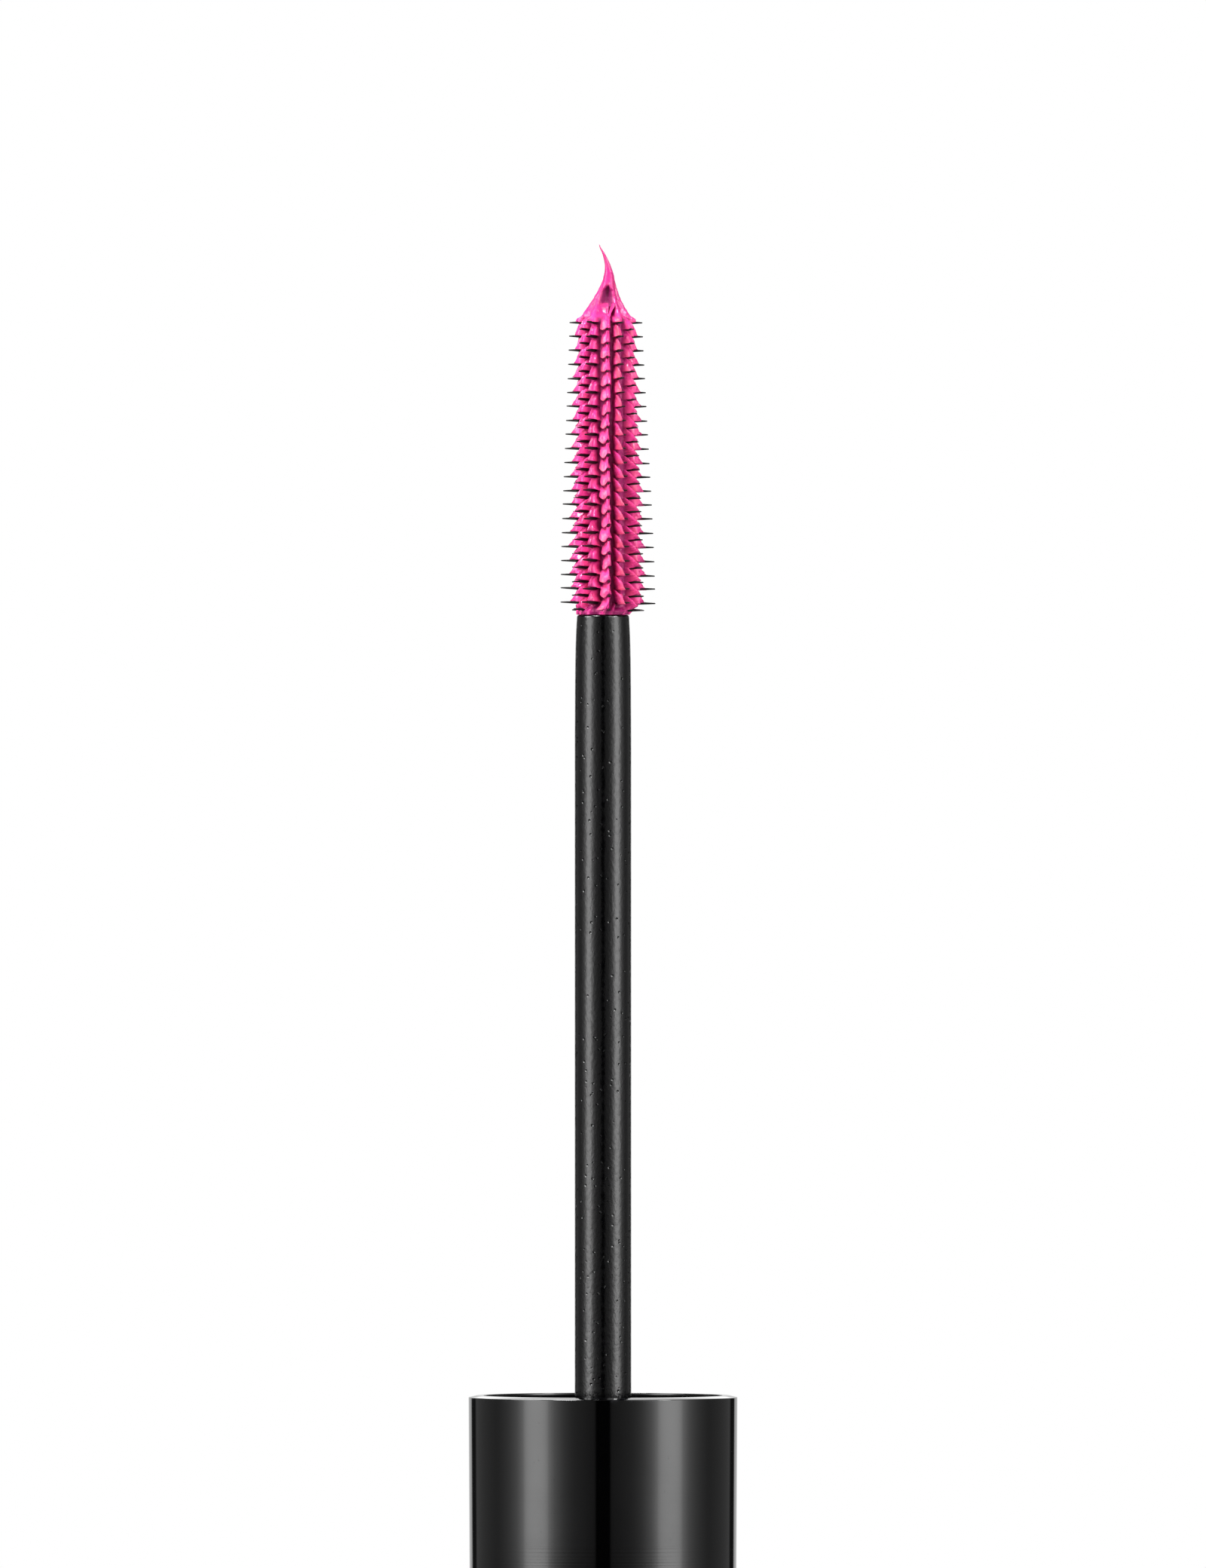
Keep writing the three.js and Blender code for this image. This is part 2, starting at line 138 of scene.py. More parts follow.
class MascaraLoadProperties(bpy.types.PropertyGroup):
    """Sizes and colours of the mascara on the brush"""
    valley: size("Valley radius", "Radius of the mascara between two rows", 1.33 * MM)
    ridge_tip: size("Ridge at the far end", "Radius of a ridge at the far end", 1.96 * MM)
    ridge_base: size("Ridge at the base", "Radius of a ridge at the base", 2.27 * MM)
    sail: size("Sail", "How far a sail of mascara climbs a bristle", 0.52 * MM)
    peak_foot: size("Peak's foot", "Radius of the drawn-out peak at its foot", 1.72 * MM)
    pink: colour("Pink", "Main colour of the mascara", (0.68, 0.036, 0.235))
    salmon: colour("Salmon", "Warmer colour of its thick parts", (0.76, 0.09, 0.18))
    gloss: share("Wet roughness", "Roughness of the wet surface", 0.1)


class MascaraStageProperties(bpy.types.PropertyGroup):
    """Camera, floor and studio light"""
    camera_distance: size("Camera distance", "From the object's axis to the camera", 2.0)
    camera_height: size("Camera height", "Height of the level camera", 95.2 * MM)
    view_height: size("View height", "Height of what the camera sees at the object", 110.8 * MM)
    floor_radius: size("Floor radius", "Radius of the pale floor", 0.9)
    fade_start: size("Fade start", "Where the floor begins to fade into white", 80 * MM)
    fade_end: size("Fade end", "Where it is all white", 400 * MM)
    light: bpy.props.FloatProperty(name="Light", description="Strength of the studio light", default=1.0)
    floor_colour: colour("Floor", "Colour of the floor", (0.36, 0.36, 0.365))


# ---------------------------------------------------------------- shapes

def arc(centre, radius, start, end, steps=6):
    """Points of a round corner in the outline's plane, from one angle to another in degrees."""
    turns = [math.radians(start + (end - start) * i / steps) for i in range(steps + 1)]
    return [(centre[0] + radius * math.cos(a), centre[1] + radius * math.sin(a)) for a in turns]


def eased(outline, reach=0.12 * MM):
    """Adds a point near each end of every long straight, so that smooth shading stays flat along it."""
    points = [outline[0]]
    for (r0, z0), (r1, z1) in zip(outline, outline[1:]):
        length = math.hypot(r1 - r0, z1 - z0)
        if length > 4 * reach:
            for along in (reach / length, 1 - reach / length):
                points.append((r0 + (r1 - r0) * along, z0 + (z1 - z0) * along))
        points.append((r1, z1))
    return points


def new_piece(name, mesh_maker):
    """A mesh object at the origin whose faces the maker draws into a bmesh."""
    mesh = bpy.data.meshes.new(name)
    piece = bpy.data.objects.new(name, mesh)
    bpy.context.scene.collection.objects.link(piece)
    bm = bmesh.new()
    mesh_maker(bm)
    bmesh.ops.recalc_face_normals(bm, faces=bm.faces)
    bm.to_mesh(mesh)
    bm.free()
    mesh.shade_smooth()
    mesh.set_sharp_from_angle(angle=math.radians(32))
    return piece


def turn_outline(bm, outline, sides=FACES_ROUND):
    """Turns an outline of (radius, height) about +Z. It runs from axis to axis, or is a closed loop."""
    closed = outline[0][0] > 1e-9
    rings = []
    for radius, height in outline[:-1] if closed else outline:
        if radius < 1e-9:
            rings.append([bm.verts.new((0, 0, height))])
            continue
        ring = [2 * math.pi * i / sides for i in range(sides)]
        rings.append([bm.verts.new((radius * math.cos(a), radius * math.sin(a), height)) for a in ring])
    pairs = list(zip(rings, rings[1:])) + ([(rings[-1], rings[0])] if closed else [])
    for low, high in pairs:
        for i in range(sides):
            j = (i + 1) % sides
            corners = [low[i % len(low)], low[j % len(low)], high[j % len(high)], high[i % len(high)]]
            bm.faces.new(list(dict.fromkeys(corners)))


def turned_piece(name, outline, sides=FACES_ROUND):
    """A piece turned about +Z from its outline."""
    return new_piece(name, lambda bm: turn_outline(bm, eased(outline), sides))


def finish_piece(piece, material, slot, *nodes):
    """Gives a piece its material, says what it rides on and hides the nodes it stands for. The name of its
    finish, given as slot, is not used.
    """
    piece.data.materials.clear()
    piece.data.materials.append(material)
    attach(piece, "root")
    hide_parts(*nodes)
    return piece


# ---------------------------------------------------------------- node trees

class Tree:
    """Short ways to add and join nodes."""

    def __init__(self, tree):
        self.tree = tree

    def add(self, kind, **settings):
        """Adds a node with its settings."""
        node = self.tree.nodes.new(kind)
        for name, value in settings.items():
            setattr(node, name, value)
        return node

    def feed(self, socket, value):
        """Joins a socket to another node's output or sets it to a plain value. None leaves it alone."""
        if isinstance(value, bpy.types.NodeSocket):
            self.tree.links.new(value, socket)
        elif value is not None:
            socket.default_value = value

    def math(self, operation, a, b=None, c=None, clamp=False):
        """One step of arithmetic."""
        node = self.add("ShaderNodeMath", operation=operation, use_clamp=clamp)
        for socket, value in zip(node.inputs, (a, b, c)):
            self.feed(socket, value)
        return node.outputs[0]

    def span(self, value, low, high, to_low=0.0, to_high=1.0):
        """A smooth step from one level, at low, to another, at high."""
        node = self.add("ShaderNodeMapRange", interpolation_type="SMOOTHSTEP")
        for socket, number in zip(node.inputs[:5], (value, low, high, to_low, to_high)):
            self.feed(socket, number)
        return node.outputs[0]

    def vector(self, x=None, y=None, z=None):
        """Joins up to three numbers to a vector."""
        node = self.add("ShaderNodeCombineXYZ")
        for socket, value in zip(node.inputs, (x, y, z)):
            self.feed(socket, value)
        return node.outputs[0]

    def blend(self, factor, a, b):
        """Blends from shader a to shader b."""
        node = self.add("ShaderNodeMixShader")
        for socket, value in zip(node.inputs, (factor, a, b)):
            self.feed(socket, value)
        return node.outputs[0]

    def camera_ray(self):
        """1 for what the camera sees itself, 0 for what lights or mirrors in a surface."""
        return self.add("ShaderNodeLightPath").outputs["Is Camera Ray"]

    def parts(self, vector):
        """The three numbers of a vector."""
        node = self.add("ShaderNodeSeparateXYZ")
        self.feed(node.inputs[0], vector)
        return node.outputs


class Finish(Tree):
    """A material with one Principled shader, whose patterns sit on Object coordinates."""

    def __init__(self, name, base_color, roughness, **sockets):
        self.material = bpy.data.materials.new(name)
        self.material.use_nodes = True
        super().__init__(self.material.node_tree)
        self.shader = self.tree.nodes["Principled BSDF"]
        self.set("Base Color", (*base_color, 1))
        self.set("Roughness", roughness)
        for socket, value in sockets.items():
            self.set(socket.replace("_", " "), value)
        self.place = self.add("ShaderNodeTexCoord").outputs["Object"]

    def set(self, socket, value):
        """Sets or joins one socket of the shader."""
        self.feed(self.shader.inputs[socket], value)

    def noise(self, per_metre, detail=2.0, stretch=(1, 1, 1)):
        """Cloudy blotches, packed more tightly along an axis where its stretch is above 1."""
        mapping = self.add("ShaderNodeMapping")
        self.feed(mapping.inputs["Vector"], self.place)
        mapping.inputs["Scale"].default_value = stretch
        node = self.add("ShaderNodeTexNoise")
        self.feed(node.inputs["Vector"], mapping.outputs[0])
        node.inputs["Scale"].default_value = per_metre
        node.inputs["Detail"].default_value = detail
        return node.outputs["Fac"]

    def specks(self, per_metre, width):
        """Small round spots: 1 at the middle of each, 0 beyond its width."""
        node = self.add("ShaderNodeTexVoronoi")
        self.feed(node.inputs["Vector"], self.place)
        node.inputs["Scale"].default_value = per_metre
        return self.span(node.outputs["Distance"], width, 0.0)

    def mix(self, factor, a, b):
        """Blends from colour a to colour b."""
        node = self.add("ShaderNodeMix", data_type="RGBA")
        self.feed(node.inputs["Factor"], factor)
        self.feed(node.inputs[6], a if isinstance(a, bpy.types.NodeSocket) else (*a, 1))
        self.feed(node.inputs[7], b if isinstance(b, bpy.types.NodeSocket) else (*b, 1))
        return node.outputs[2]

    def bump(self, height, distance, strength=1.0, after=None):
        """Raises the surface by a pattern of heights, on top of the bumps given as after."""
        node = self.add("ShaderNodeBump")
        self.feed(node.inputs["Height"], height)
        self.feed(node.inputs["Normal"], after)
        node.inputs["Distance"].default_value = distance
        node.inputs["Strength"].default_value = strength
        self.set("Normal", node.outputs[0])
        return node.outputs[0]


# ---------------------------------------------------------------- finishes

def tinted(base, times):
    """A colour made lighter or darker."""
    return tuple(times * channel for channel in base)


def polished_black(cap):
    """The overcap: polished black plastic with faint turned lines, dust and a worn rim."""
    made = Finish("polished black shell", cap.shell_colour, cap.gloss, IOR=1.5)
    smears = made.noise(160, detail=3)
    dust = made.specks(1500, 0.09)
    roughness = made.span(smears, 0.35, 0.75, cap.gloss, cap.gloss + 0.035)
    made.set("Roughness", made.math("ADD", roughness, made.math("MULTIPLY", dust, 0.25)))
    height = made.parts(made.place)[2]
    rim = made.span(height, CAP_HIGH.z - 0.6 * MM, CAP_HIGH.z)
    scuffs = made.span(made.noise(1400, detail=4), 0.5, 0.75)
    worn = made.math("MULTIPLY", rim, scuffs)
    made.set("Base Color", made.mix(worn, cap.shell_colour, tinted(cap.shell_colour, 20)))
    lines = made.noise(40, detail=2, stretch=(0.02, 0.02, 180))
    turned = made.bump(lines, 0.0006 * MM)
    made.bump(made.noise(900, detail=1), 0.0004 * MM, after=turned)
    return made.material


def moulded_liner(cap):
    """The liner: satin black with the fine grain of its mould."""
    made = Finish("moulded liner", cap.liner_colour, 0.4, IOR=1.49)
    made.set("Roughness", made.span(made.noise(700, detail=4), 0.3, 0.7, 0.32, 0.5))
    made.bump(made.noise(9000, detail=3), 0.01 * MM, 0.5)
    return made.material


def foamed_washer(cap):
    """The washer: off-white foam with fine cells."""
    made = Finish("foamed washer", cap.washer_colour, 0.65, IOR=1.45)
    cells = made.specks(6000, 0.45)
    made.set("Base Color", made.mix(cells, cap.washer_colour, tinted(cap.washer_colour, 0.82)))
    made.bump(cells, -0.02 * MM, 0.7)
    return made.material


def specked_stem(stem):
    """The stem: glossy black with a fine grain and scattered specks."""
    made = Finish("specked stem", stem.stem_colour, stem.gloss, IOR=1.5)
    grain = made.noise(5200, detail=3, stretch=(1, 1, 0.55))
    specks = made.specks(1700, 0.2)
    made.set("Roughness", made.span(grain, 0.3, 0.7, stem.gloss - 0.03, stem.gloss + 0.07))
    grained = made.bump(grain, 0.014 * MM, 0.8)
    made.bump(specks, -0.03 * MM, 0.8, after=grained)
    return made.material


def bristle_rubber(brush):
    """The bristles: satin black elastomer, a little greyer where it is rubbed."""
    made = Finish("bristle rubber", brush.bristle_colour, 0.42, IOR=1.5, Specular_IOR_Level=0.14)
    rubbed = tinted(brush.bristle_colour, 2)
    made.set("Base Color", made.mix(made.noise(2600, detail=3), brush.bristle_colour, rubbed))
    made.set("Roughness", made.span(made.noise(1900, detail=2), 0.3, 0.7, 0.34, 0.52))
    made.bump(made.noise(15000, detail=2), 0.004 * MM, 0.5)
    return made.material


def wet_mascara(load):
    """The mascara: a wet bright cream, warmer where it is thick and darker where it is a thin film; the
    same darker colour is painted shade in its valleys, in the peak's hollow and on the peak's left flank.
    """
    made = Finish("wet mascara", load.pink, load.gloss, IOR=1.48, Specular_IOR_Level=0.3)
    blotches = made.span(made.noise(1100, detail=2), 0.35, 0.7, 0.0, 0.35)
    thick = made.add("ShaderNodeAttribute", attribute_name="thick").outputs["Fac"]
    base = made.mix(made.math("ADD", blotches, thick, clamp=True), load.pink, load.salmon)
    film = made.add("ShaderNodeAttribute", attribute_name="film").outputs["Fac"]
    # Painted shade: this darker colour, meant for a thin film over a bristle, is also painted into the
    # valleys between rows and into the peak's hollow and left flank.
    film_and_shade_colour = (0.26 * load.pink[0], 0.0, 0.28 * load.pink[2])
    made.set("Base Color", made.mix(film, base, film_and_shade_colour))
    uneven = made.span(made.noise(2400, detail=3), 0.3, 0.7, load.gloss - 0.05, load.gloss + 0.07)
    made.set("Roughness", made.math("MULTIPLY_ADD", film, 0.45, uneven))
    rippled = made.bump(made.noise(3800, detail=2), 0.036 * MM, 0.6)
    beaded = made.bump(made.specks(2500, 0.3), 0.03 * MM, 0.7, after=rippled)
    made.bump(made.noise(14000, detail=2), 0.006 * MM, 0.4, after=beaded)
    return made.material


def plated_steel():
    """The balance weight: turned, plated steel."""
    made = Finish("plated steel", (0.42, 0.43, 0.44), 0.3, Metallic=1.0)
    made.set("Roughness", made.span(made.noise(900, detail=3, stretch=(1, 1, 6)), 0.3, 0.7, 0.22, 0.42))
    made.bump(made.noise(800, detail=2, stretch=(0.1, 0.1, 12)), 0.01 * MM, 0.4)
    return made.material


def core_plastic():
    """The brush's core: glass-filled black plastic."""
    made = Finish("core plastic", (0.02, 0.02, 0.02), 0.5)
    made.set("Roughness", made.span(made.noise(1500, detail=3), 0.3, 0.7, 0.42, 0.58))
    made.bump(made.noise(9000, detail=2), 0.01 * MM, 0.4)
    return made.material


# ---------------------------------------------------------------- pieces

def cap_radius(cap, height):
    """Outer radius of the overcap at a height."""
    return cap.end_radius + (cap.rim_radius - cap.end_radius) * height / CAP_HIGH.z


def overcap_outline(cap):
    """The overcap's section: rounded closed end, long drafted wall, crowned rim, bore and floor."""
    top = CAP_HIGH.z
    edge = 0.05 * MM
    soft = 0.03 * MM
    rounding = cap.end_rounding
    bore = cap.rim_radius - cap.wall
    floor = cap.end_thickness
    floor_bore = cap_radius(cap, floor) - cap.wall
    chamfer = 0.4 * MM
    foot = cap.end_radius - rounding
    outline = [(0, 0)]
    outline += arc((foot, rounding), rounding, -90, 0, 8)
    outline += arc((cap.rim_radius - edge, top - cap.rim_drop - edge), edge, 0, 74, 5)
    outline += [(bore + cap.rim_flat, top)]
    outline += arc((bore + soft, top - soft), soft, 90, 180, 4)
    outline += [(floor_bore, floor + chamfer), (floor_bore - chamfer, floor), (0, floor)]
    return outline


def new_geometry_tree(name, inputs):
    """A geometry nodes tree with inputs given as (name, kind), and the outputs of its input node."""
    tree = bpy.data.node_groups.new(name, "GeometryNodeTree")
    for label, kind in (("Geometry", "Geometry"), *inputs, ("Material", "Material")):
        tree.interface.new_socket(label, in_out="INPUT", socket_type="NodeSocket" + kind)
    tree.interface.new_socket("Geometry", in_out="OUTPUT", socket_type="NodeSocketGeometry")
    made = Tree(tree)
    return made, made.add("NodeGroupInput").outputs


def stand_copies(made, given, count, place, copy, turned, scale=None):
    """Stands turned copies at their places, joins them to the piece and sets the material of all."""
    points = made.add("GeometryNodePoints")
    made.feed(points.inputs["Count"], count)
    made.feed(points.inputs["Position"], place)
    copies = made.add("GeometryNodeInstanceOnPoints")
    made.feed(copies.inputs["Points"], points.outputs[0])
    made.feed(copies.inputs["Instance"], copy)
    made.feed(copies.inputs["Rotation"], turned)
    made.feed(copies.inputs["Scale"], scale)
    real = made.add("GeometryNodeRealizeInstances")
    made.feed(real.inputs[0], copies.outputs[0])
    join = made.add("GeometryNodeJoinGeometry")
    made.feed(join.inputs[0], given["Geometry"])
    made.feed(join.inputs[0], real.outputs[0])
    painted = made.add("GeometryNodeSetMaterial")
    made.feed(painted.inputs["Geometry"], join.outputs[0])
    made.feed(painted.inputs["Material"], given["Material"])
    made.feed(made.add("NodeGroupOutput").inputs[0], painted.outputs[0])


def rib_ring_tree():
    """Geometry nodes that stand a ring of upright ribs round the axis and join it to the piece."""
    lengths = ("Inner Radius", "Outer Radius", "Width", "Bottom", "Top")
    made, given = new_geometry_tree("Rib ring", [("Count", "Int"), *((name, "Float") for name in lengths)])
    inner, outer, width, bottom, top = (given[name] for name in lengths)
    middle = made.math("MULTIPLY", made.math("ADD", inner, outer), 0.5)
    height = made.math("MULTIPLY", made.math("ADD", bottom, top), 0.5)
    block = made.add("GeometryNodeMeshCube")
    depth = made.math("SUBTRACT", outer, inner)
    made.feed(block.inputs["Size"], made.vector(depth, width, made.math("SUBTRACT", top, bottom)))
    index = made.add("GeometryNodeInputIndex").outputs[0]
    turn = made.math("DIVIDE", made.math("MULTIPLY", index, math.tau), given["Count"])
    across = made.math("MULTIPLY", middle, made.math("COSINE", turn))
    back = made.math("MULTIPLY", middle, made.math("SINE", turn))
    place = made.vector(across, back, height)
    stand_copies(made, given, given["Count"], place, block.outputs["Mesh"], made.vector(z=turn))
    return made.tree


def grown(piece, tree, **values):
    """Runs a geometry nodes tree on a piece and keeps the result as its plain mesh."""
    modifier = piece.modifiers.new(tree.name, "NODES")
    modifier.node_group = tree
    for item in tree.interface.items_tree:
        key = item.name.lower().replace(" ", "_")
        if item.in_out == "INPUT" and key in values:
            modifier[item.identifier] = values[key]
    evaluated = piece.evaluated_get(bpy.context.evaluated_depsgraph_get())
    mesh = bpy.data.meshes.new_from_object(evaluated)
    piece.modifiers.clear()
    old = piece.data
    piece.data = mesh
    bpy.data.meshes.remove(old)
    mesh.name = piece.name
    return piece


class MASCARA_OT_overcap(bpy.types.Operator):
    """Build the glossy overcap with the stop ribs inside it"""
    bl_idname = "mascara.overcap"
    bl_label = "Overcap"

    def execute(self, context):
        cap = context.scene.mascara_cap
        material = polished_black(cap)
        piece = turned_piece("overcap_shell", overcap_outline(cap))
        floor = cap.end_thickness
        into_wall = 0.3 * cap.wall
        under_liner = 0.2 * MM
        grown(piece, rib_ring_tree(), count=8, inner_radius=7.25 * MM, width=0.9 * MM,
              outer_radius=cap_radius(cap, floor) - cap.wall + into_wall,
              bottom=floor / 2, top=LINER_LOW.z - under_liner, material=material)
        finish_piece(piece, material, "overcap_gloss", "overcap")
        return {"FINISHED"}


LINER_FLOOR = WASHER_LOW.z - 0.06 * MM  # the floor of the well, under the washer
SOCKET_LOW = LINER_FLOOR - 8.5 * MM  # the lower end of the socket that grips the stem's tail
SKIRT_RADIUS = 7.2 * MM


def liner_outline(cap):
    """The liner's section: skirt, chamfered mouth, well with its floor, and the socket for the stem."""
    low, top = LINER_LOW.z, LINER_HIGH.z
    gap = 0.08 * MM
    outer_low = cap_radius(cap, low) - cap.wall - gap
    outer_top = cap_radius(cap, top) - cap.wall - gap
    chamfer = 0.35 * MM
    soft = 0.15 * MM
    well = cap.well_radius
    under = LINER_FLOOR - 2 * MM
    socket = 2.4 * MM
    boss = 4 * MM
    outline = [(SKIRT_RADIUS, low + chamfer), (SKIRT_RADIUS + chamfer, low)]
    outline += [(outer_low - soft, low), (outer_low, low + soft)]
    outline += arc((outer_top - chamfer, top - chamfer), chamfer, 0, 90, 5)
    outline += arc((well + chamfer, top - chamfer), chamfer, 90, 180, 5)
    outline += arc((well - soft, LINER_FLOOR + soft), soft, 0, -90, 4)
    outline += [(socket + soft, LINER_FLOOR), (socket, LINER_FLOOR - soft), (socket, SOCKET_LOW)]
    outline += [(boss - soft, SOCKET_LOW), (boss, SOCKET_LOW + soft), (boss, under), (SKIRT_RADIUS, under)]
    return outline + [outline[0]]


def thread_section(cap):
    """The thread's section as (radius, height from its middle): a round crest on a wide root."""
    root = cap.well_radius + 0.15 * MM
    half_root = 0.62 * MM
    crest = 0.16 * MM
    half_flat = 0.14 * MM
    flank = 35
    outline = [(root, -half_root)]
    outline += arc((cap.thread_radius + crest, -half_flat), crest, 270 - flank, 180, 3)
    outline += arc((cap.thread_radius + crest, half_flat), crest, 180, 90 + flank, 3)
    outline += [(root, half_root)]
    return outline


def thread_bead(bm, cap, turns=1.75, steps=80):
    """Winds the thread round the well. It runs out to nothing at both ends."""
    section = thread_section(cap)
    root = section[0][0]
    top = LINER_HIGH.z - 1.8 * MM
    run_out = 7  # steps over which the thread grows or dies away
    rings = []
    for i in range(int(turns * steps) + 1):
        angle = math.tau * i / steps
        middle = top - cap.thread_pitch * (turns - i / steps)
        ends = min(1.0, (i + 0.4) / run_out, (turns * steps - i + 0.4) / run_out)
        grow = math.sin(ends * math.pi / 2)
        ring = []
        for radius, height in section:
            r = root + (radius - root) * grow
            z = middle + height * (0.4 + 0.6 * grow)
            ring.append(bm.verts.new((r * math.cos(angle), r * math.sin(angle), z)))
        rings.append(ring)
    for low, high in zip(rings, rings[1:]):
        for i in range(len(section)):
            j = (i + 1) % len(section)
            bm.faces.new((low[i], low[j], high[j], high[i]))
    bm.faces.new(list(reversed(rings[0])))
    bm.faces.new(rings[-1])


class MASCARA_OT_liner(bpy.types.Operator):
    """Build the threaded liner inside the cap"""
    bl_idname = "mascara.liner"
    bl_label = "Liner"

    def execute(self, context):
        cap = context.scene.mascara_cap
        material = moulded_liner(cap)

        def draw(bm):
            turn_outline(bm, eased(liner_outline(cap)), 192)
            thread_bead(bm, cap)

        piece = new_piece("threaded_liner", draw)
        into_skirt = 0.4 * MM
        grown(piece, rib_ring_tree(), count=6, inner_radius=3.2 * MM, width=0.8 * MM,
              outer_radius=SKIRT_RADIUS + into_skirt,
              bottom=SOCKET_LOW, top=LINER_FLOOR - 1.5 * MM, material=material)
        finish_piece(piece, material, "liner_plastic", "inner_cap")
        return {"FINISHED"}


class MASCARA_OT_washer(bpy.types.Operator):
    """Build the sealing washer, with the ring that the tube's neck has pressed into it"""
    bl_idname = "mascara.washer"
    bl_label = "Sealing washer"

    def execute(self, context):
        cap = context.scene.mascara_cap
        low, top = WASHER_LOW.z, WASHER_HIGH.z
        inner, outer = 3.1 * MM, WASHER_HIGH.x
        soft = 0.12 * MM
        pressed = 0.06 * MM
        ring_outer, ring_inner, slope = 5.9 * MM, 4.8 * MM, 0.1 * MM
        outline = arc((inner + soft, low + soft), soft, 180, 270, 3)
        outline += arc((outer - soft, low + soft), soft, 270, 360, 3)
        outline += arc((outer - soft, top - soft), soft, 0, 90, 3)
        outline += [(ring_outer, top), (ring_outer - slope, top - pressed)]
        outline += [(ring_inner + slope, top - pressed), (ring_inner, top)]
        outline += arc((inner + soft, top - soft), soft, 90, 180, 3)
        piece = turned_piece("sealing_washer", outline + [outline[0]], 160)
        finish_piece(piece, foamed_washer(cap), "washer_foam", "seal_washer")
        return {"FINISHED"}


def stem_outline(stem):
    """The stem's section: barbed tail, flange, shank, narrowed end and the bore for the brush."""
    top = STEM_HIGH.z
    flange_low = WASHER_LOW.z + 0.04 * MM
    flange_high = flange_low + 1 * MM
    tail = 1.9 * MM
    barb = 2.3 * MM
    edge = 0.16 * MM
    soft = 0.1 * MM
    bottom = STEM_LOW.z
    barbs = 3
    above_barbs = 0.7 * MM
    barb_pitch = (flange_low - bottom - above_barbs) / barbs
    lead_in = 0.3 * MM
    outline = [(0, bottom), (tail - lead_in, bottom)]
    for i in range(barbs):
        foot = bottom + i * barb_pitch
        outline += [(barb, foot + 0.55 * barb_pitch), (tail, foot + 0.65 * barb_pitch)]
    outline += [(tail, flange_low)]
    outline += arc((stem.flange_radius - soft, flange_low + soft), soft, -90, 0, 3)
    outline += arc((stem.flange_radius - soft, flange_high - soft), soft, 0, 60, 3)
    outline += [(stem.radius, flange_high + stem.flange_radius - stem.radius)]
    start = top - stem.narrowing
    steps = 16
    for i in range(steps + 1):
        along = i / steps
        narrow = 0.25 * along + 0.75 * along ** 5
        radius = stem.radius + (stem.end_radius - stem.radius) * narrow
        outline.append((radius, start + (top - edge - start) * along))
    outline += arc((stem.end_radius - edge, top - edge), edge, 15, 90, 5)
    bore_floor = top - stem.bore_depth
    outline += [(stem.bore_radius, top), (stem.bore_radius, bore_floor), (0, bore_floor)]
    return outline


class MASCARA_OT_stem(bpy.types.Operator):
    """Build the stem"""
    bl_idname = "mascara.stem"
    bl_label = "Stem"

    def execute(self, context):
        stem = context.scene.mascara_stem
        piece = turned_piece("wand_stem", stem_outline(stem), 160)
        finish_piece(piece, specked_stem(stem), "stem_plastic", "stem")
        return {"FINISHED"}


def seat_shift(brush, height):
    """How far to the right of the stem's axis the brush's axis stands at a height."""
    return brush.offset - math.sin(brush.lean) * (height - STEM_HIGH.z)


def droop(brush, across, height):
    """How much lower a point of the brush hangs for standing to the right of the stem's axis."""
    along = np.clip((height - SLEEVE_LOW.z) / (SLEEVE_HIGH.z - SLEEVE_LOW.z), 0, 1)
    slope = brush.droop_base + (brush.droop_tip - brush.droop_base) * along
    ramp = 0.6 * MM
    return slope * across * np.clip((height - SLEEVE_LOW.z) / ramp, 0, 1)


def needle(brush):
    """One bristle along +X, one unit long: a taper with a round tip."""
    sides = 8
    stations = ((0, 1), (0.3, 1), (0.6, 1), (0.85, 1), (0.972, 1), (0.992, 0.75), (1, 0.35))

    def draw(bm):
        loops = []
        turns = [math.tau * k / sides for k in range(sides)]
        for along, roundness in stations:
            radius = brush.tip_radius + (brush.root_radius - brush.tip_radius) * (1 - along)
            radius *= roundness
            ring = [(along, radius * math.cos(a), radius * math.sin(a)) for a in turns]
            loops.append([bm.verts.new(corner) for corner in ring])
        for low, high in zip(loops, loops[1:]):
            for k in range(sides):
                j = (k + 1) % sides
                bm.faces.new((low[k], low[j], high[j], high[k]))
        bm.faces.new(loops[0])
        bm.faces.new(loops[-1])

    piece = new_piece("needle", draw)
    piece.hide_render = True
    return piece


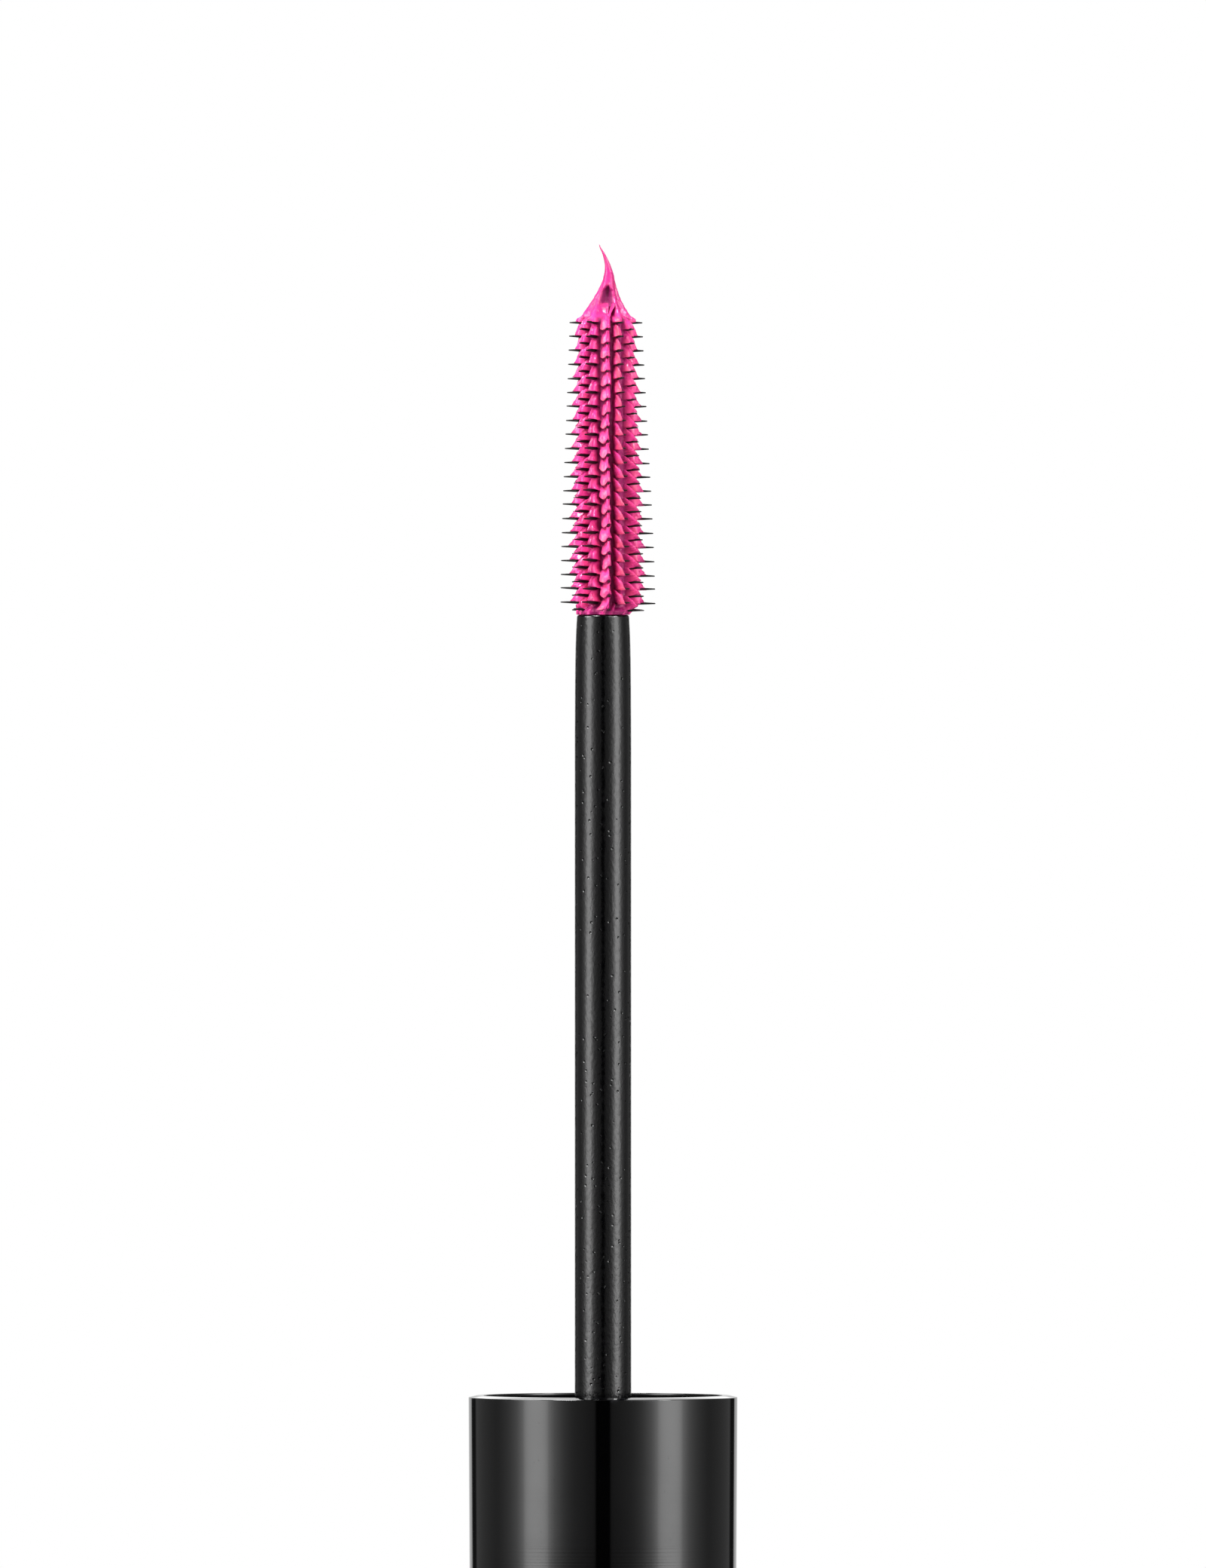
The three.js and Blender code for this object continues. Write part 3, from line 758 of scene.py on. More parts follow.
def bristle_tree():
    """Geometry nodes that stand rows of bristles round the brush's axis and join them to the piece."""
    counts = ("Rows", "Row Length", "Seed")
    measures = ("Pitch", "Lowest", "Reach Tip", "Reach Base", "Bulge", "Short Share", "Root", "Offset",
                "Lean", "Foot", "Jitter", "Skew")
    numbers = [(name, "Int") for name in counts] + [(name, "Float") for name in measures]
    made, given = new_geometry_tree("Bristle rows", [("Bristle", "Object"), *numbers])

    index = made.add("GeometryNodeInputIndex").outputs[0]
    row = made.math("FLOOR", made.math("DIVIDE", made.math("ADD", index, 0.5), given["Row Length"]))
    spot = made.math("SUBTRACT", index, made.math("MULTIPLY", row, given["Row Length"]))
    long = made.math("MODULO", row, 2.0)
    steps = made.math("MULTIPLY_ADD", long, 0.5, spot)
    height = made.math("MULTIPLY_ADD", steps, given["Pitch"], given["Lowest"])
    most = made.math("SUBTRACT", given["Row Length"], 0.5)
    down = made.math("SUBTRACT", 1.0, made.math("DIVIDE", steps, most))
    swell = made.math("SINE", made.math("MULTIPLY", made.math("POWER", down, 2.0), math.pi))
    blend = made.math("MULTIPLY_ADD", swell, given["Bulge"], down)
    widest = made.math("SUBTRACT", given["Reach Base"], given["Reach Tip"])
    reach = made.math("MULTIPLY_ADD", blend, widest, given["Reach Tip"])
    shorter_by = made.math("SUBTRACT", 1.0, given["Short Share"])
    trim = made.math("MULTIPLY_ADD", long, shorter_by, given["Short Share"])
    length = made.math("SUBTRACT", made.math("MULTIPLY", reach, trim), given["Root"])
    turn = made.math("MULTIPLY", made.math("DIVIDE", row, given["Rows"]), math.tau)
    to_the_right = made.math("MULTIPLY_ADD", long, -2.0, 1.0)
    skewed = made.math("MULTIPLY_ADD", to_the_right, given["Skew"], turn)
    angle = made.math("SUBTRACT", skewed, math.pi / 2)

    rise = made.math("SUBTRACT", height, given["Foot"])
    lean_back = made.math("MULTIPLY", made.math("SINE", given["Lean"]), rise)
    axis = made.math("SUBTRACT", given["Offset"], lean_back)
    across = made.math("MULTIPLY_ADD", made.math("COSINE", angle), given["Root"], axis)
    back = made.math("MULTIPLY", made.math("SINE", angle), given["Root"])
    place = made.vector(across, back, height)

    other_way = made.math("MULTIPLY", given["Jitter"], -1.0)
    stray = made.add("FunctionNodeRandomValue", data_type="FLOAT_VECTOR")
    made.feed(stray.inputs[0], made.vector(y=other_way, z=other_way))
    made.feed(stray.inputs[1], made.vector(y=given["Jitter"], z=given["Jitter"]))
    made.feed(stray.inputs["Seed"], given["Seed"])
    turned = made.add("ShaderNodeVectorMath", operation="ADD")
    made.feed(turned.inputs[0], made.vector(z=angle))
    made.feed(turned.inputs[1], stray.outputs[0])

    source = made.add("GeometryNodeObjectInfo")
    made.feed(source.inputs["Object"], given["Bristle"])
    count = made.math("MULTIPLY", given["Rows"], given["Row Length"])
    stand_copies(made, given, count, place, source.outputs["Geometry"], turned.outputs[0],
                 scale=made.vector(length, 1, 1))
    return made.tree


class MASCARA_OT_bristles(bpy.types.Operator):
    """Build the brush: the sleeve on its core and the rows of bristles"""
    bl_idname = "mascara.bristles"
    bl_label = "Bristle brush"

    def execute(self, context):
        brush = context.scene.mascara_brush
        low, top = SLEEVE_LOW.z, SLEEVE_HIGH.z
        radius = brush.sleeve_radius
        soft = 0.4 * MM
        bevel = 0.1 * MM
        bore = 0.86 * MM
        outline = [(bore, low), (radius - bevel, low), (radius, low + bevel)]
        outline += arc((radius - soft, top - soft), soft, 0, 90, 5)
        outline = [(0, top - soft), (bore, top - soft), *outline, (0, top)]
        piece = turned_piece("bristle_brush", outline, 64)
        for vertex in piece.data.vertices:
            vertex.co.x += seat_shift(brush, vertex.co.z)
        material = bristle_rubber(brush)
        bristle = needle(brush)
        grown(piece, bristle_tree(), bristle=bristle, seed=7, rows=brush.rows, row_length=brush.row_length,
              pitch=brush.pitch, lowest=brush.lowest, foot=STEM_HIGH.z, root=radius - 0.2 * MM,
              reach_tip=brush.reach_tip, reach_base=brush.reach_base, bulge=brush.bulge,
              short_share=brush.short_share, offset=brush.offset, lean=brush.lean, skew=brush.skew,
              jitter=math.radians(1.1), material=material)
        for vertex in piece.data.vertices:
            vertex.co.z -= droop(brush, vertex.co.x, vertex.co.z)
        bpy.data.objects.remove(bristle)
        finish_piece(piece, material, "bristle_rubber", "bristle_sleeve")
        return {"FINISHED"}


# ---------------------------------------------------------------- the mascara

# Lengths in this section are in millimetres until the mesh is made.
FOOT_GAP = 0.01  # between the stem's end and the mascara
FOOT = STEM_HIGH.z / MM + FOOT_GAP
TIP = LOAD_HIGH.z / MM
ROW_RADIUS = 2.0  # where distances across a row are measured
# Columns of corners in each row, as distances across it. They crowd round the crest and its steep side.
ROW_COLUMNS = (-0.6, -0.54, -0.48, -0.42, -0.36, -0.3, -0.24, -0.18, -0.13, -0.09, -0.055, -0.02,
               0.015, 0.05, 0.085, 0.12, 0.16, 0.2, 0.25, 0.3, 0.35, 0.4)
# Levels in each half pitch, as shares of it from a bristle's axis. The first two are the edge of a ledge.
HALF_PITCH_LEVELS = (-0.045, 0.045, 0.14, 0.27, 0.43, 0.6, 0.78)
FOOT_LEVELS = 6
PEAK_LEVELS = 56
RIDGE_MIDDLE = 2.07  # radius of a ridge half way along the brush
RIDGE_FOOT = 2.2  # and at the stem
FILM_ON_TIPS = (2.12, 2.34)  # radii between which the cover of a bristle thins to a film
SHADE_IN_VALLEYS = (1.45, 1.86)  # radii between which the painted shade in a valley deepens, from none at the higher to full at the lower
# The most that the film on a bristle and the painted shade in a valley mix in the darker colour.
FULLEST_FILM_AND_SHADE = 0.88
COLLAR_RADIUS = 1.84  # where the mascara meets the stem

# The rows, from the front one round to the right.
# How far the mascara of each row is dragged to one side of its bristles.
ROW_SPREAD = (0.66, 0.25, 0.2, 0.45, 0.55, 0.45, 0.6, 0.42, 0.55, 0.5, 0.55, 0.5)
# How far it reaches to the other, steeper side.
ROW_STEEP = (0.12, 0.14, 0.16, 0.13, 0.15, 0.13, 0.16, 0.13, 0.15, 0.13, 0.16, 0.27)
# How far its crest slants from one bristle to the next.
ROW_SLANT = (0.05, 0.34, 0.28, 0.16, 0.24, 0.08, 0.3, 0.12, 0.2, 0.02, 0.05, 0.0)
# How much taller its sails are, and how much broader its crest.
ROW_SAIL = (0.9, 1.2, 1.0, 1.0, 1.1, 1.0, 1.2, 1.0, 1.0, 1.0, 0.95, 0.9)
ROW_BREADTH = (1.0, 1.8, 1.1, 1.0, 1.0, 1.4, 1.0, 1.2, 1.0, 1.0, 1.0, 1.3)
# How deep it falls away under each bristle.
ROW_NOTCH = (0.42, 0.8, 0.8, 0.4, 0.5, 0.45, 0.5, 0.4, 0.6, 0.4, 0.75, 0.8)
# How far it hangs below its ledge on the side to which it is dragged.
ROW_HANG = (1.0, 0.5, 0.0, 0.3, 0.8, 1.0, 0.7, 1.0, 0.8, 1.0, 1.0, 1.0)
# How far above a bristle's axis its ledge stands at the bristle. Below 0, it hangs over the bristle.
ROW_LEDGE = (0.11, -0.12, 0.07, -0.08, 0.05, -0.06, 0.07, -0.02, 0.08, 0.05, 0.09, 0.09)
SAIL_ROW = 1  # the row with the broadest sails, to the right of the front one
FAR_DRAG = 0.12  # how much of the drag is left at the far end
DRAG_FADES = (FOOT + 11.34, FOOT + 17.34)  # the heights between which the drag fades

# The peak, in tables of (share of its height, value). Its foot is at 0 and its tip at 1.
PEAK_RISE = 5.09
PEAK_LEAN = ((0, -0.01), (0.25, 0.07), (0.52, 0.24), (0.67, 0.22), (0.82, 0.0), (0.94, -0.28), (1, -0.52))
# The hollow in its front: middle and half-width in degrees, and depth as a share of the radius.
HOLLOW_MIDDLE = ((0, 4), (0.12, 4), (0.27, 3), (0.42, -3))
HOLLOW_WIDTH = ((-0.1, 22), (0.03, 27), (0.12, 30), (0.27, 38), (0.36, 34), (0.42, 12))
HOLLOW_DEPTH = ((-0.1, 0.25), (0, 0.32), (0.13, 0.34), (0.2, 0.7), (0.3, 0.72), (0.38, 0.62), (0.44, 0))
# The thin rib that crosses the hollow, in degrees to the right of the front.
RIB_LINE = ((-0.15, 2), (-0.05, 5), (0.02, 13), (0.13, 30), (0.19, 38))

# Height and breadth of the uneven flow, coarse and fine.
COARSE_FLOW = (0.045, 0.45)
FINE_FLOW = (0.034, 0.16)


def smooth(value, low, high):
    """0 below low, 1 above high, and a smooth step between."""
    t = np.clip((value - low) / (high - low), 0, 1)
    return t * t * (3 - 2 * t)


def bell(value, middle, width):
    """1 at the middle, and close to 0 beyond twice the width."""
    return np.exp(-((value - middle) / width) ** 2)


def read_off(table, at):
    """Values of a table of (place, value) at other places, in straight lines between its own."""
    places, values = zip(*table)
    return np.interp(at, places, values)


def wrapped(angle):
    """An angle brought between minus and plus half a turn."""
    return (angle + math.pi) % math.tau - math.pi


def blended_top(a, b, softness):
    """The greater of two surfaces, with a soft join where they cross."""
    return np.logaddexp(a / softness, b / softness) * softness


def mascara_levels(brush):
    """Heights of the rows of corners, two close together at each ledge under a bristle."""
    half = brush.pitch / MM / 2
    lowest = brush.lowest / MM
    ledges = lowest + half * np.arange(2 * brush.row_length)[:, None]
    levels = (ledges + half * np.array(HALF_PITCH_LEVELS)).ravel()
    start = np.linspace(FOOT, levels[0], FOOT_LEVELS + 1)[:-1]
    short_of_tip = 0.9985
    rise = TIP - levels[-1]
    shares = np.linspace(0, 1, PEAK_LEVELS + 1)[1:]
    peak = levels[-1] + short_of_tip * rise * (0.45 * shares + 0.55 * shares ** 2)
    return np.concatenate([start, levels, peak])


def dragged(height):
    """How strongly the mascara is dragged to one side, from little at the far end to 1."""
    return FAR_DRAG + (1 - FAR_DRAG) * (1 - smooth(height, *DRAG_FADES))


def row_surface(load, brush, row, draws, angle, height):
    """The mascara of one row: a lump over each bristle, with a thin crest that climbs the bristle.

    Also gives where it is a film over a bristle, and where it is thick.
    """
    pitch = brush.pitch / MM
    count = (height - brush.lowest / MM) / pitch - (row % 2) / 2
    place = np.clip(np.floor(count), -1, brush.row_length - 1).astype(int)
    along = np.where(count < 0, 1, np.clip(count - place, 0, 1))
    on_bristle = count > -0.01
    down = np.clip(1 - (height - brush.lowest / MM) / ((brush.row_length - 0.5) * pitch), 0, 1)
    ridge_tip, ridge_base = load.ridge_tip / MM, load.ridge_base / MM
    ridge = read_off(((0, ridge_tip), (0.45, RIDGE_MIDDLE), (0.85, ridge_base), (1, RIDGE_FOOT)), down)
    valley = load.valley / MM
    drag = dragged(height)
    wider, steeper, slanting, higher, slipping, climbing = (
        draws.uniform(-1, 1, brush.row_length + 1)[place] for _ in range(6))
    slip = 0.07 * slipping * drag
    u = wrapped(angle + math.pi / 2 - row * math.tau / brush.rows) * ROW_RADIUS - slip  # across the row

    # The lump: broad on the side to which it is dragged, steep on the other.
    even_side = 0.45
    spread = (even_side + (ROW_SPREAD[row] - even_side) * drag) * (1 + 0.18 * wider)
    spread = spread * (1 - 0.4 * along ** 2)
    even_steep = 0.4
    steep = (even_steep + (ROW_STEEP[row] - even_steep) * drag) * (1 + 0.2 * steeper)
    ends = np.clip(1 - along / 0.4, 0, 1) + 0.8 * smooth(along, 0.6, 0.95)
    steep = steep + (0.14 + 0.1 * slanting) * drag * ends
    t = np.where(u < 0, -u / spread, u / steep)  # 1 at the edge of the lump
    flat = np.exp(-t ** np.where(u < 0, 5, 4))
    top = ridge - 0.07 + (0.15 + 0.05 * higher) * (1 - along) - ROW_NOTCH[row] * along ** 3
    top = top - np.where(u < 0, 0.14, 0.05) * np.minimum(t, 1.2)
    lump = valley + (top - valley) * flat

    # The crest: a thin sail that climbs the bristle.
    crest_at = -0.03 - (ROW_SLANT[row] * drag + 0.04 * slanting) * along - slip
    width = (0.055 + 0.06 * along) * (1 + (ROW_BREADTH[row] - 1) * drag)
    sail = load.sail / MM * (0.5 + 0.5 * smooth(down, 0, 0.4))
    taller = 1 + (ROW_SAIL[row] - 1) * drag
    fall = 0.8 if row == SAIL_ROW else 1.7
    rise = sail * taller * (1 + 0.16 * climbing) * (1 - along) ** fall
    profile = np.exp(-np.abs((u - crest_at) / width) ** 2.4)
    crest = valley + (ridge + rise - valley - (ROW_NOTCH[row] - 0.3) * along ** 3) * profile

    film = on_bristle * bell(u, 0, 0.2) * np.clip(1 - along / 0.45, 0, 1)
    if row == SAIL_ROW:
        thick = bell(u, -0.1, 0.14) * (1 - along) ** 0.5 * on_bristle
    else:
        thick = bell(u, -0.33, 0.17) * (1 - along) * on_bristle
    if row > SAIL_ROW:
        thick = 0.3 * thick
    return blended_top(lump, crest, 0.03), film, thick


def brush_surface(load, brush, angle, height):
    """Radius of the mascara along the brush, where it is a film on a bristle, where its valleys are
    painted dark as painted shade, and where it is thick.
    """
    draws = np.random.default_rng(11)
    radius = np.full_like(angle, load.valley / MM)
    film, thick = np.zeros_like(angle), np.zeros_like(angle)
    for row in range(brush.rows):
        row_radius, over, side = row_surface(load, brush, row, draws, angle, height)
        radius = blended_top(radius, row_radius, 0.025)
        film = np.maximum(film, over * smooth(row_radius, *FILM_ON_TIPS))
        thick = np.maximum(thick, side)
    # Painted shade: the lower the mascara lies between two rows, the darker it is painted.
    valley_shade = 1 - smooth(radius, *SHADE_IN_VALLEYS)
    return radius, FULLEST_FILM_AND_SHADE * np.maximum(film, valley_shade), thick


def hung_ledges(brush, angle, height):
    """How far the ledges stand above their bristles, less how far they hang on the dragged side."""
    u = wrapped(brush.rows * (angle + math.pi / 2)) / brush.rows * ROW_RADIUS
    row = np.rint((angle + math.pi / 2) / math.tau * brush.rows).astype(int) % brush.rows
    drag = dragged(height)
    even_ledge = 0.07
    raised = np.array(ROW_LEDGE)[row] * drag + even_ledge * (1 - drag)
    steps = np.rint((height - brush.lowest / MM) / (brush.pitch / MM / 2)).astype(int)
    draws = np.random.default_rng(5)
    vary = draws.uniform(-1, 1, (brush.rows, 2 * brush.row_length + 20))[row, steps]
    hang = np.array(ROW_HANG)[row] * (0.17 + 0.07 * vary) * bell(u, -0.32, 0.17) * (0.35 + 0.65 * drag)
    return raised * smooth(u, -0.2, -0.06) * (1 - smooth(u, 0.25, 0.42)) - hang


def peak_surface(load, angle, up):
    """Radius of the drawn-out peak, furrowed all round, with a hollow and a rib in front, and its painted
    shade.
    """
    crest = load.peak_foot / MM * np.exp(-3.1 * np.maximum(up, 0) ** 1.2)
    crest = crest * np.sqrt(np.clip(1 - up ** 6, 0, 1)) * (1 + 5 * np.clip(-up, 0, 0.1))
    facing = np.degrees(wrapped(angle + math.pi / 2))
    furrows = (0.5 + 0.5 * np.cos(np.radians(6 * facing))) ** 1.5
    behind = smooth(np.abs(facing), 75, 120)
    furrow_depth = (0.24 + 0.12 * behind) * (1 - smooth(up, 0.15, 0.75))
    radius = crest * (1 - furrow_depth * furrows)

    # The hollow, deeper to the right below, and the rib that crosses it.
    from_middle = np.abs(facing - read_off(HOLLOW_MIDDLE, up))
    hollow = np.exp(-(from_middle / read_off(HOLLOW_WIDTH, up)) ** 7)
    deeper = smooth(facing, 8, 22) * (1 - smooth(up, 0.1, 0.17)) * 0.25
    radius = radius * (1 - hollow * (read_off(HOLLOW_DEPTH, up) + deeper * (up > -0.1)))

    from_rib = np.radians(facing - read_off(RIB_LINE, up)) * crest
    rib = crest * (0.97 - 0.12 * bell(up, 0.05, 0.04)) * np.exp(-(np.abs(from_rib) / 0.1) ** 2.5)
    rib = rib * smooth(up, -0.16, -0.08) * (1 - smooth(up, 0.17, 0.22))

    # Painted shade: dark in the hollow, beside the rib and on the left flank; above its foot the whole
    # peak is also a little darker.
    pocket = smooth(up, 0.155, 0.2) * (1 - smooth(up, 0.41, 0.44))
    pocket = np.maximum(pocket, smooth(facing, 12, 17) * (up < 0.2))
    pocket_shade = smooth(hollow, 0.04, 0.55) * pocket * (rib < radius)
    left_flank_shade = 0.6 * smooth(-facing, 25, 60) * smooth(up, 0.42, 0.55)
    above_foot = 0.36 * smooth(up, -0.02, 0.16)
    film = np.maximum(pocket_shade, np.maximum(left_flank_shade, above_foot))
    return blended_top(radius, rib, 0.02), film


def peak_axis(up):
    """How far to the right the peak's middle stands: a line through a few points, with its bends eased."""
    reach = 0.05
    before, after = read_off(PEAK_LEAN, up - reach), read_off(PEAK_LEAN, up + reach)
    bends = read_off(PEAK_LEAN, up)
    for _ in range(2):
        bends = (before + bends + after) / 3
    return bends


def roughened(radius, angle, height):
    """Adds the uneven flow of the mascara to its radius. It is coarsest next to the stem."""
    x, y = radius * np.cos(angle), radius * np.sin(angle)
    coarse, coarse_breadth = COARSE_FLOW
    fine, fine_breadth = FINE_FLOW
    messy_height = 1.5
    for i, j in np.ndindex(*radius.shape):
        spot = Vector((x[i, j], y[i, j], height[i, j]))
        mess = 1 + 2.5 * max(0, 1 - (height[i, j] - height[0, 0]) / messy_height)
        lumps = coarse * mess * noise.noise(spot / coarse_breadth)
        lumps += fine * noise.noise(spot / fine_breadth)
        radius[i, j] += lumps * min(1, radius[i, j])
    return radius


def mascara_grid(load, brush):
    """Corners of the mascara's outer surface from the stem up to the tip, its film together with its
    painted shade, and its thick parts.
    """
    places = np.array(ROW_COLUMNS) / ROW_RADIUS
    starts = -math.pi / 2 + np.arange(brush.rows)[:, None] * math.tau / brush.rows
    angle, height = np.meshgrid((starts + places).ravel(), mascara_levels(brush))
    up = (height - (TIP - PEAK_RISE)) / PEAK_RISE
    rise = height - FOOT

    radius, film, thick = brush_surface(load, brush, angle, height)
    into_peak = smooth(up, -0.055, 0.03)
    peak_radius, peak_shade = peak_surface(load, angle, up)
    radius = radius * (1 - into_peak) + peak_radius * into_peak
    film = film * (1 - into_peak) + peak_shade * into_peak
    thick = thick * (1 - into_peak)
    waves = 0.04 * np.sin(5 * angle + 1) + 0.05 * np.sin(11 * angle)
    collar = COLLAR_RADIUS + 0.14 * smooth(rise, 0, 0.4) + waves
    into_collar = 1 - smooth(rise, 0.15, 0.7)
    radius = radius * (1 - into_collar) + collar * into_collar
    radius = roughened(radius, angle, height)

    lean = math.sin(brush.lean)
    axis = (brush.offset / MM - lean * rise) * smooth(rise, 0, 0.9)
    axis = axis + peak_axis(np.clip(up, 0, 1)) * smooth(up, -0.02, 0.1)
    on_brush = smooth(rise, 0.2, 0.9) * (1 - smooth(up, -0.16, -0.05))
    turned = angle + brush.skew * np.cos(brush.rows / 2 * (angle + math.pi / 2))
    x, y = radius * np.cos(turned) + axis, radius * np.sin(turned)
    z = height + hung_ledges(brush, angle, height) * on_brush
    points = np.stack([x, y, z], axis=-1) * MM
    points[..., 2] -= droop(brush, points[..., 0], points[..., 2]) * (1 - smooth(up, -0.05, 0.1))
    return points, film, thick


def mascara_bore(brush, columns):
    """Rings of corners of the bore that sits on the sleeve, from its end down to the stem."""
    first = ROW_COLUMNS[0] / ROW_RADIUS - math.pi / 2
    angles = np.linspace(0, math.tau, columns, endpoint=False) + first
    bore = brush.sleeve_radius + 0.02 * MM
    soft = 0.4 * MM
    end = SLEEVE_HIGH.z + 0.03 * MM
    rings = []
    foot = STEM_HIGH.z + FOOT_GAP * MM
    for radius, height in ((bore - soft, end), (bore, SLEEVE_HIGH.z - soft), (bore, foot)):
        shift = seat_shift(brush, height)
        rings.append(np.stack([radius * np.cos(angles) + shift, radius * np.sin(angles),
                               np.full_like(angles, height)], axis=-1))
    return rings


def mascara_mesh(load, brush):
    """The mascara as one closed mesh: outer surface, tip, and the bore that sits on the sleeve."""
    outer, film, thick = mascara_grid(load, brush)
    columns = outer.shape[1]
    inner = mascara_bore(brush, columns)
    grid = np.concatenate([inner, outer])
    bore_end = inner[0][0, 2]
    ends = np.array([[seat_shift(brush, bore_end), 0, bore_end], [outer[-1, :, 0].mean(), 0, LOAD_HIGH.z]])
    corners = np.concatenate([grid.reshape(-1, 3), ends])
    start = np.arange(len(grid) - 1)[:, None] * columns
    here = np.arange(columns)[None, :]
    after = (here + 1) % columns
    above = start + columns
    quads = np.stack([start + here, start + after, above + after, above + here], axis=-1)
    faces = quads.reshape(-1, 4).tolist()
    last = (len(grid) - 1) * columns
    faces += [(len(corners) - 2, (k + 1) % columns, k) for k in range(columns)]
    faces += [(len(corners) - 1, last + k, last + (k + 1) % columns) for k in range(columns)]
    mesh = bpy.data.meshes.new("mascara_coat")
    mesh.from_pydata(corners.tolist(), [], faces)
    # The film attribute holds both a thin film over the bristles and painted shade in the valleys and in
    # the peak's hollow.
    for name, outside in (("film", film), ("thick", thick)):
        values = np.concatenate([np.zeros((len(inner), columns)), outside]).ravel()
        attribute = mesh.attributes.new(name, "FLOAT", "POINT")
        attribute.data.foreach_set("value", np.concatenate([values, [0, 0]]).astype(np.float32))
    mesh.shade_smooth()
    return mesh


class MASCARA_OT_load(bpy.types.Operator):
    """Build the mascara on the brush, with a sail up each bristle and its drawn-out peak"""
    bl_idname = "mascara.load"
    bl_label = "Mascara"

    def execute(self, context):
        load, brush = context.scene.mascara_load, context.scene.mascara_brush
        piece = bpy.data.objects.new("mascara_coat", mascara_mesh(load, brush))
        context.scene.collection.objects.link(piece)
        finish_piece(piece, wet_mascara(load), "mascara", "mascara_load")
        return {"FINISHED"}


class MASCARA_OT_inside(bpy.types.Operator):
    """Finish the pieces that stay as they are inside the cap and the brush"""
    bl_idname = "mascara.inside"
    bl_label = "Inner pieces"

    def execute(self, context):
        for node, material in (("balance_weight", plated_steel()), ("brush_core", core_plastic())):
            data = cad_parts[node].data
            data.materials.clear()
            data.materials.append(material)
        return {"FINISHED"}


# ---------------------------------------------------------------- stage

# Brightness of the studio by the angle from straight ahead of the object's front, in degrees.
STUDIO = ((0, 0.0), (5.4, 0.0), (7, 0.2), (14, 0.3), (27, 0.55), (39, 1.55), (47, 3.5), (59, 6.6),
          (74, 2.9), (84, 1.14), (95, 0.52), (107, 0.3), (139, 0.3), (145, 0.03), (154, 0.03),
          (157, 1.0), (180, 1.0))
BRIGHTEST = 7.0
# Small bright lamps, well above the level view: direction, half-width in degrees and brightness.
LAMPS = (
    ((-0.42, -0.42, 0.8), 8, 108.0),
    ((0.75, -0.45, 0.5), 6, 54.0),
    ((-0.9, -0.25, 0.42), 15, 14.0),
    ((0.6, -0.65, 0.48), 19, 5.5),
    ((0, 0.9, 0.44), 17, 2.0),
    ((-0.25, 0.72, 0.65), 14, 10.0),
)
LAMP_EDGES = (1.15, 0.85)  # where a lamp is dark and where it is full, as shares of its half-width
TOP_LIGHT = 0.25
LOW_LIGHT = 0.12


def walls_round(made, across, ahead, up):
    """Brightness of the studio's walls, which reach a little above and below the level view."""
    aside = made.math("ARCTAN2", made.math("ABSOLUTE", across), made.math("MULTIPLY", ahead, -1.0))
    curve = made.add("ShaderNodeFloatCurve")
    made.feed(curve.inputs["Value"], made.math("DIVIDE", aside, math.pi))
    line = curve.mapping.curves[0]
    line.points[0].location = (0, STUDIO[0][1] / BRIGHTEST)
    line.points[1].location = (1, STUDIO[-1][1] / BRIGHTEST)
    for angle, level in STUDIO[1:-1]:
        point = line.points.new(angle / 180, level / BRIGHTEST)
        point.handle_type = "AUTO_CLAMPED"
    curve.mapping.update()
    window = made.math("MULTIPLY", made.span(up, -0.35, -0.15), made.span(up, 0.4, 0.18))
    return made.math("MULTIPLY", made.math("MULTIPLY", curve.outputs[0], BRIGHTEST), window)


def studio_light(stage):
    """A studio all round: a soft box to each side, a white backdrop and a dark gap at the camera."""
    world = bpy.data.worlds.new("studio")
    bpy.context.scene.world = world
    world.use_nodes = True
    world.node_tree.nodes.clear()
    made = Tree(world.node_tree)
    direction = made.add("ShaderNodeTexCoord").outputs["Generated"]
    across, ahead, up = made.parts(direction)
    top = made.math("MULTIPLY", made.span(up, 0.55, 0.85), TOP_LIGHT)
    low = made.math("MULTIPLY", made.span(up, -0.2, -0.5), LOW_LIGHT)
    level = made.math("ADD", made.math("ADD", walls_round(made, across, ahead, up), top), low)
    for lamp, half_width, strength in LAMPS:
        toward = made.add("ShaderNodeVectorMath", operation="DOT_PRODUCT")
        made.feed(toward.inputs[0], direction)
        toward.inputs[1].default_value = Vector(lamp).normalized()
        edges = [math.cos(math.radians(half_width * edge)) for edge in LAMP_EDGES]
        level = made.math("ADD", level, made.span(toward.outputs["Value"], *edges, 0, strength))
    lit = made.add("ShaderNodeBackground")
    made.feed(lit.inputs["Strength"], made.math("MULTIPLY", level, stage.light))
    white = made.add("ShaderNodeBackground")
    white.inputs["Color"].default_value = (1, 1, 1, 1)
    mixed = made.blend(made.camera_ray(), lit.outputs[0], white.outputs[0])
    made.feed(made.add("ShaderNodeOutputWorld").inputs[0], mixed)


def pale_floor(stage):
    """A round pale floor that fades into the white round it."""
    finish = Finish("pale floor", stage.floor_colour, 0.8)
    finish.bump(finish.noise(2000, detail=3), 0.005 * MM, 0.2)
    across, back, _ = finish.parts(finish.place)
    squares = [finish.math("POWER", way, 2.0) for way in (across, back)]
    out = finish.math("SQRT", finish.math("ADD", *squares))
    glow = finish.add("ShaderNodeEmission")
    finish.feed(glow.inputs["Strength"], finish.camera_ray())
    faded = finish.span(out, stage.fade_start, stage.fade_end)
    mixed = finish.blend(faded, finish.shader.outputs[0], glow.outputs[0])
    finish.feed(finish.tree.nodes["Material Output"].inputs[0], mixed)
    underside = -2 * MM
    middle = 50 * MM
    edge = stage.floor_radius
    outline = [(0, underside), (edge, underside), (edge, 0), (middle, 0), (0, 0)]
    floor = new_piece("floor", lambda bm: turn_outline(bm, outline, 96))
    floor.data.materials.append(finish.material)


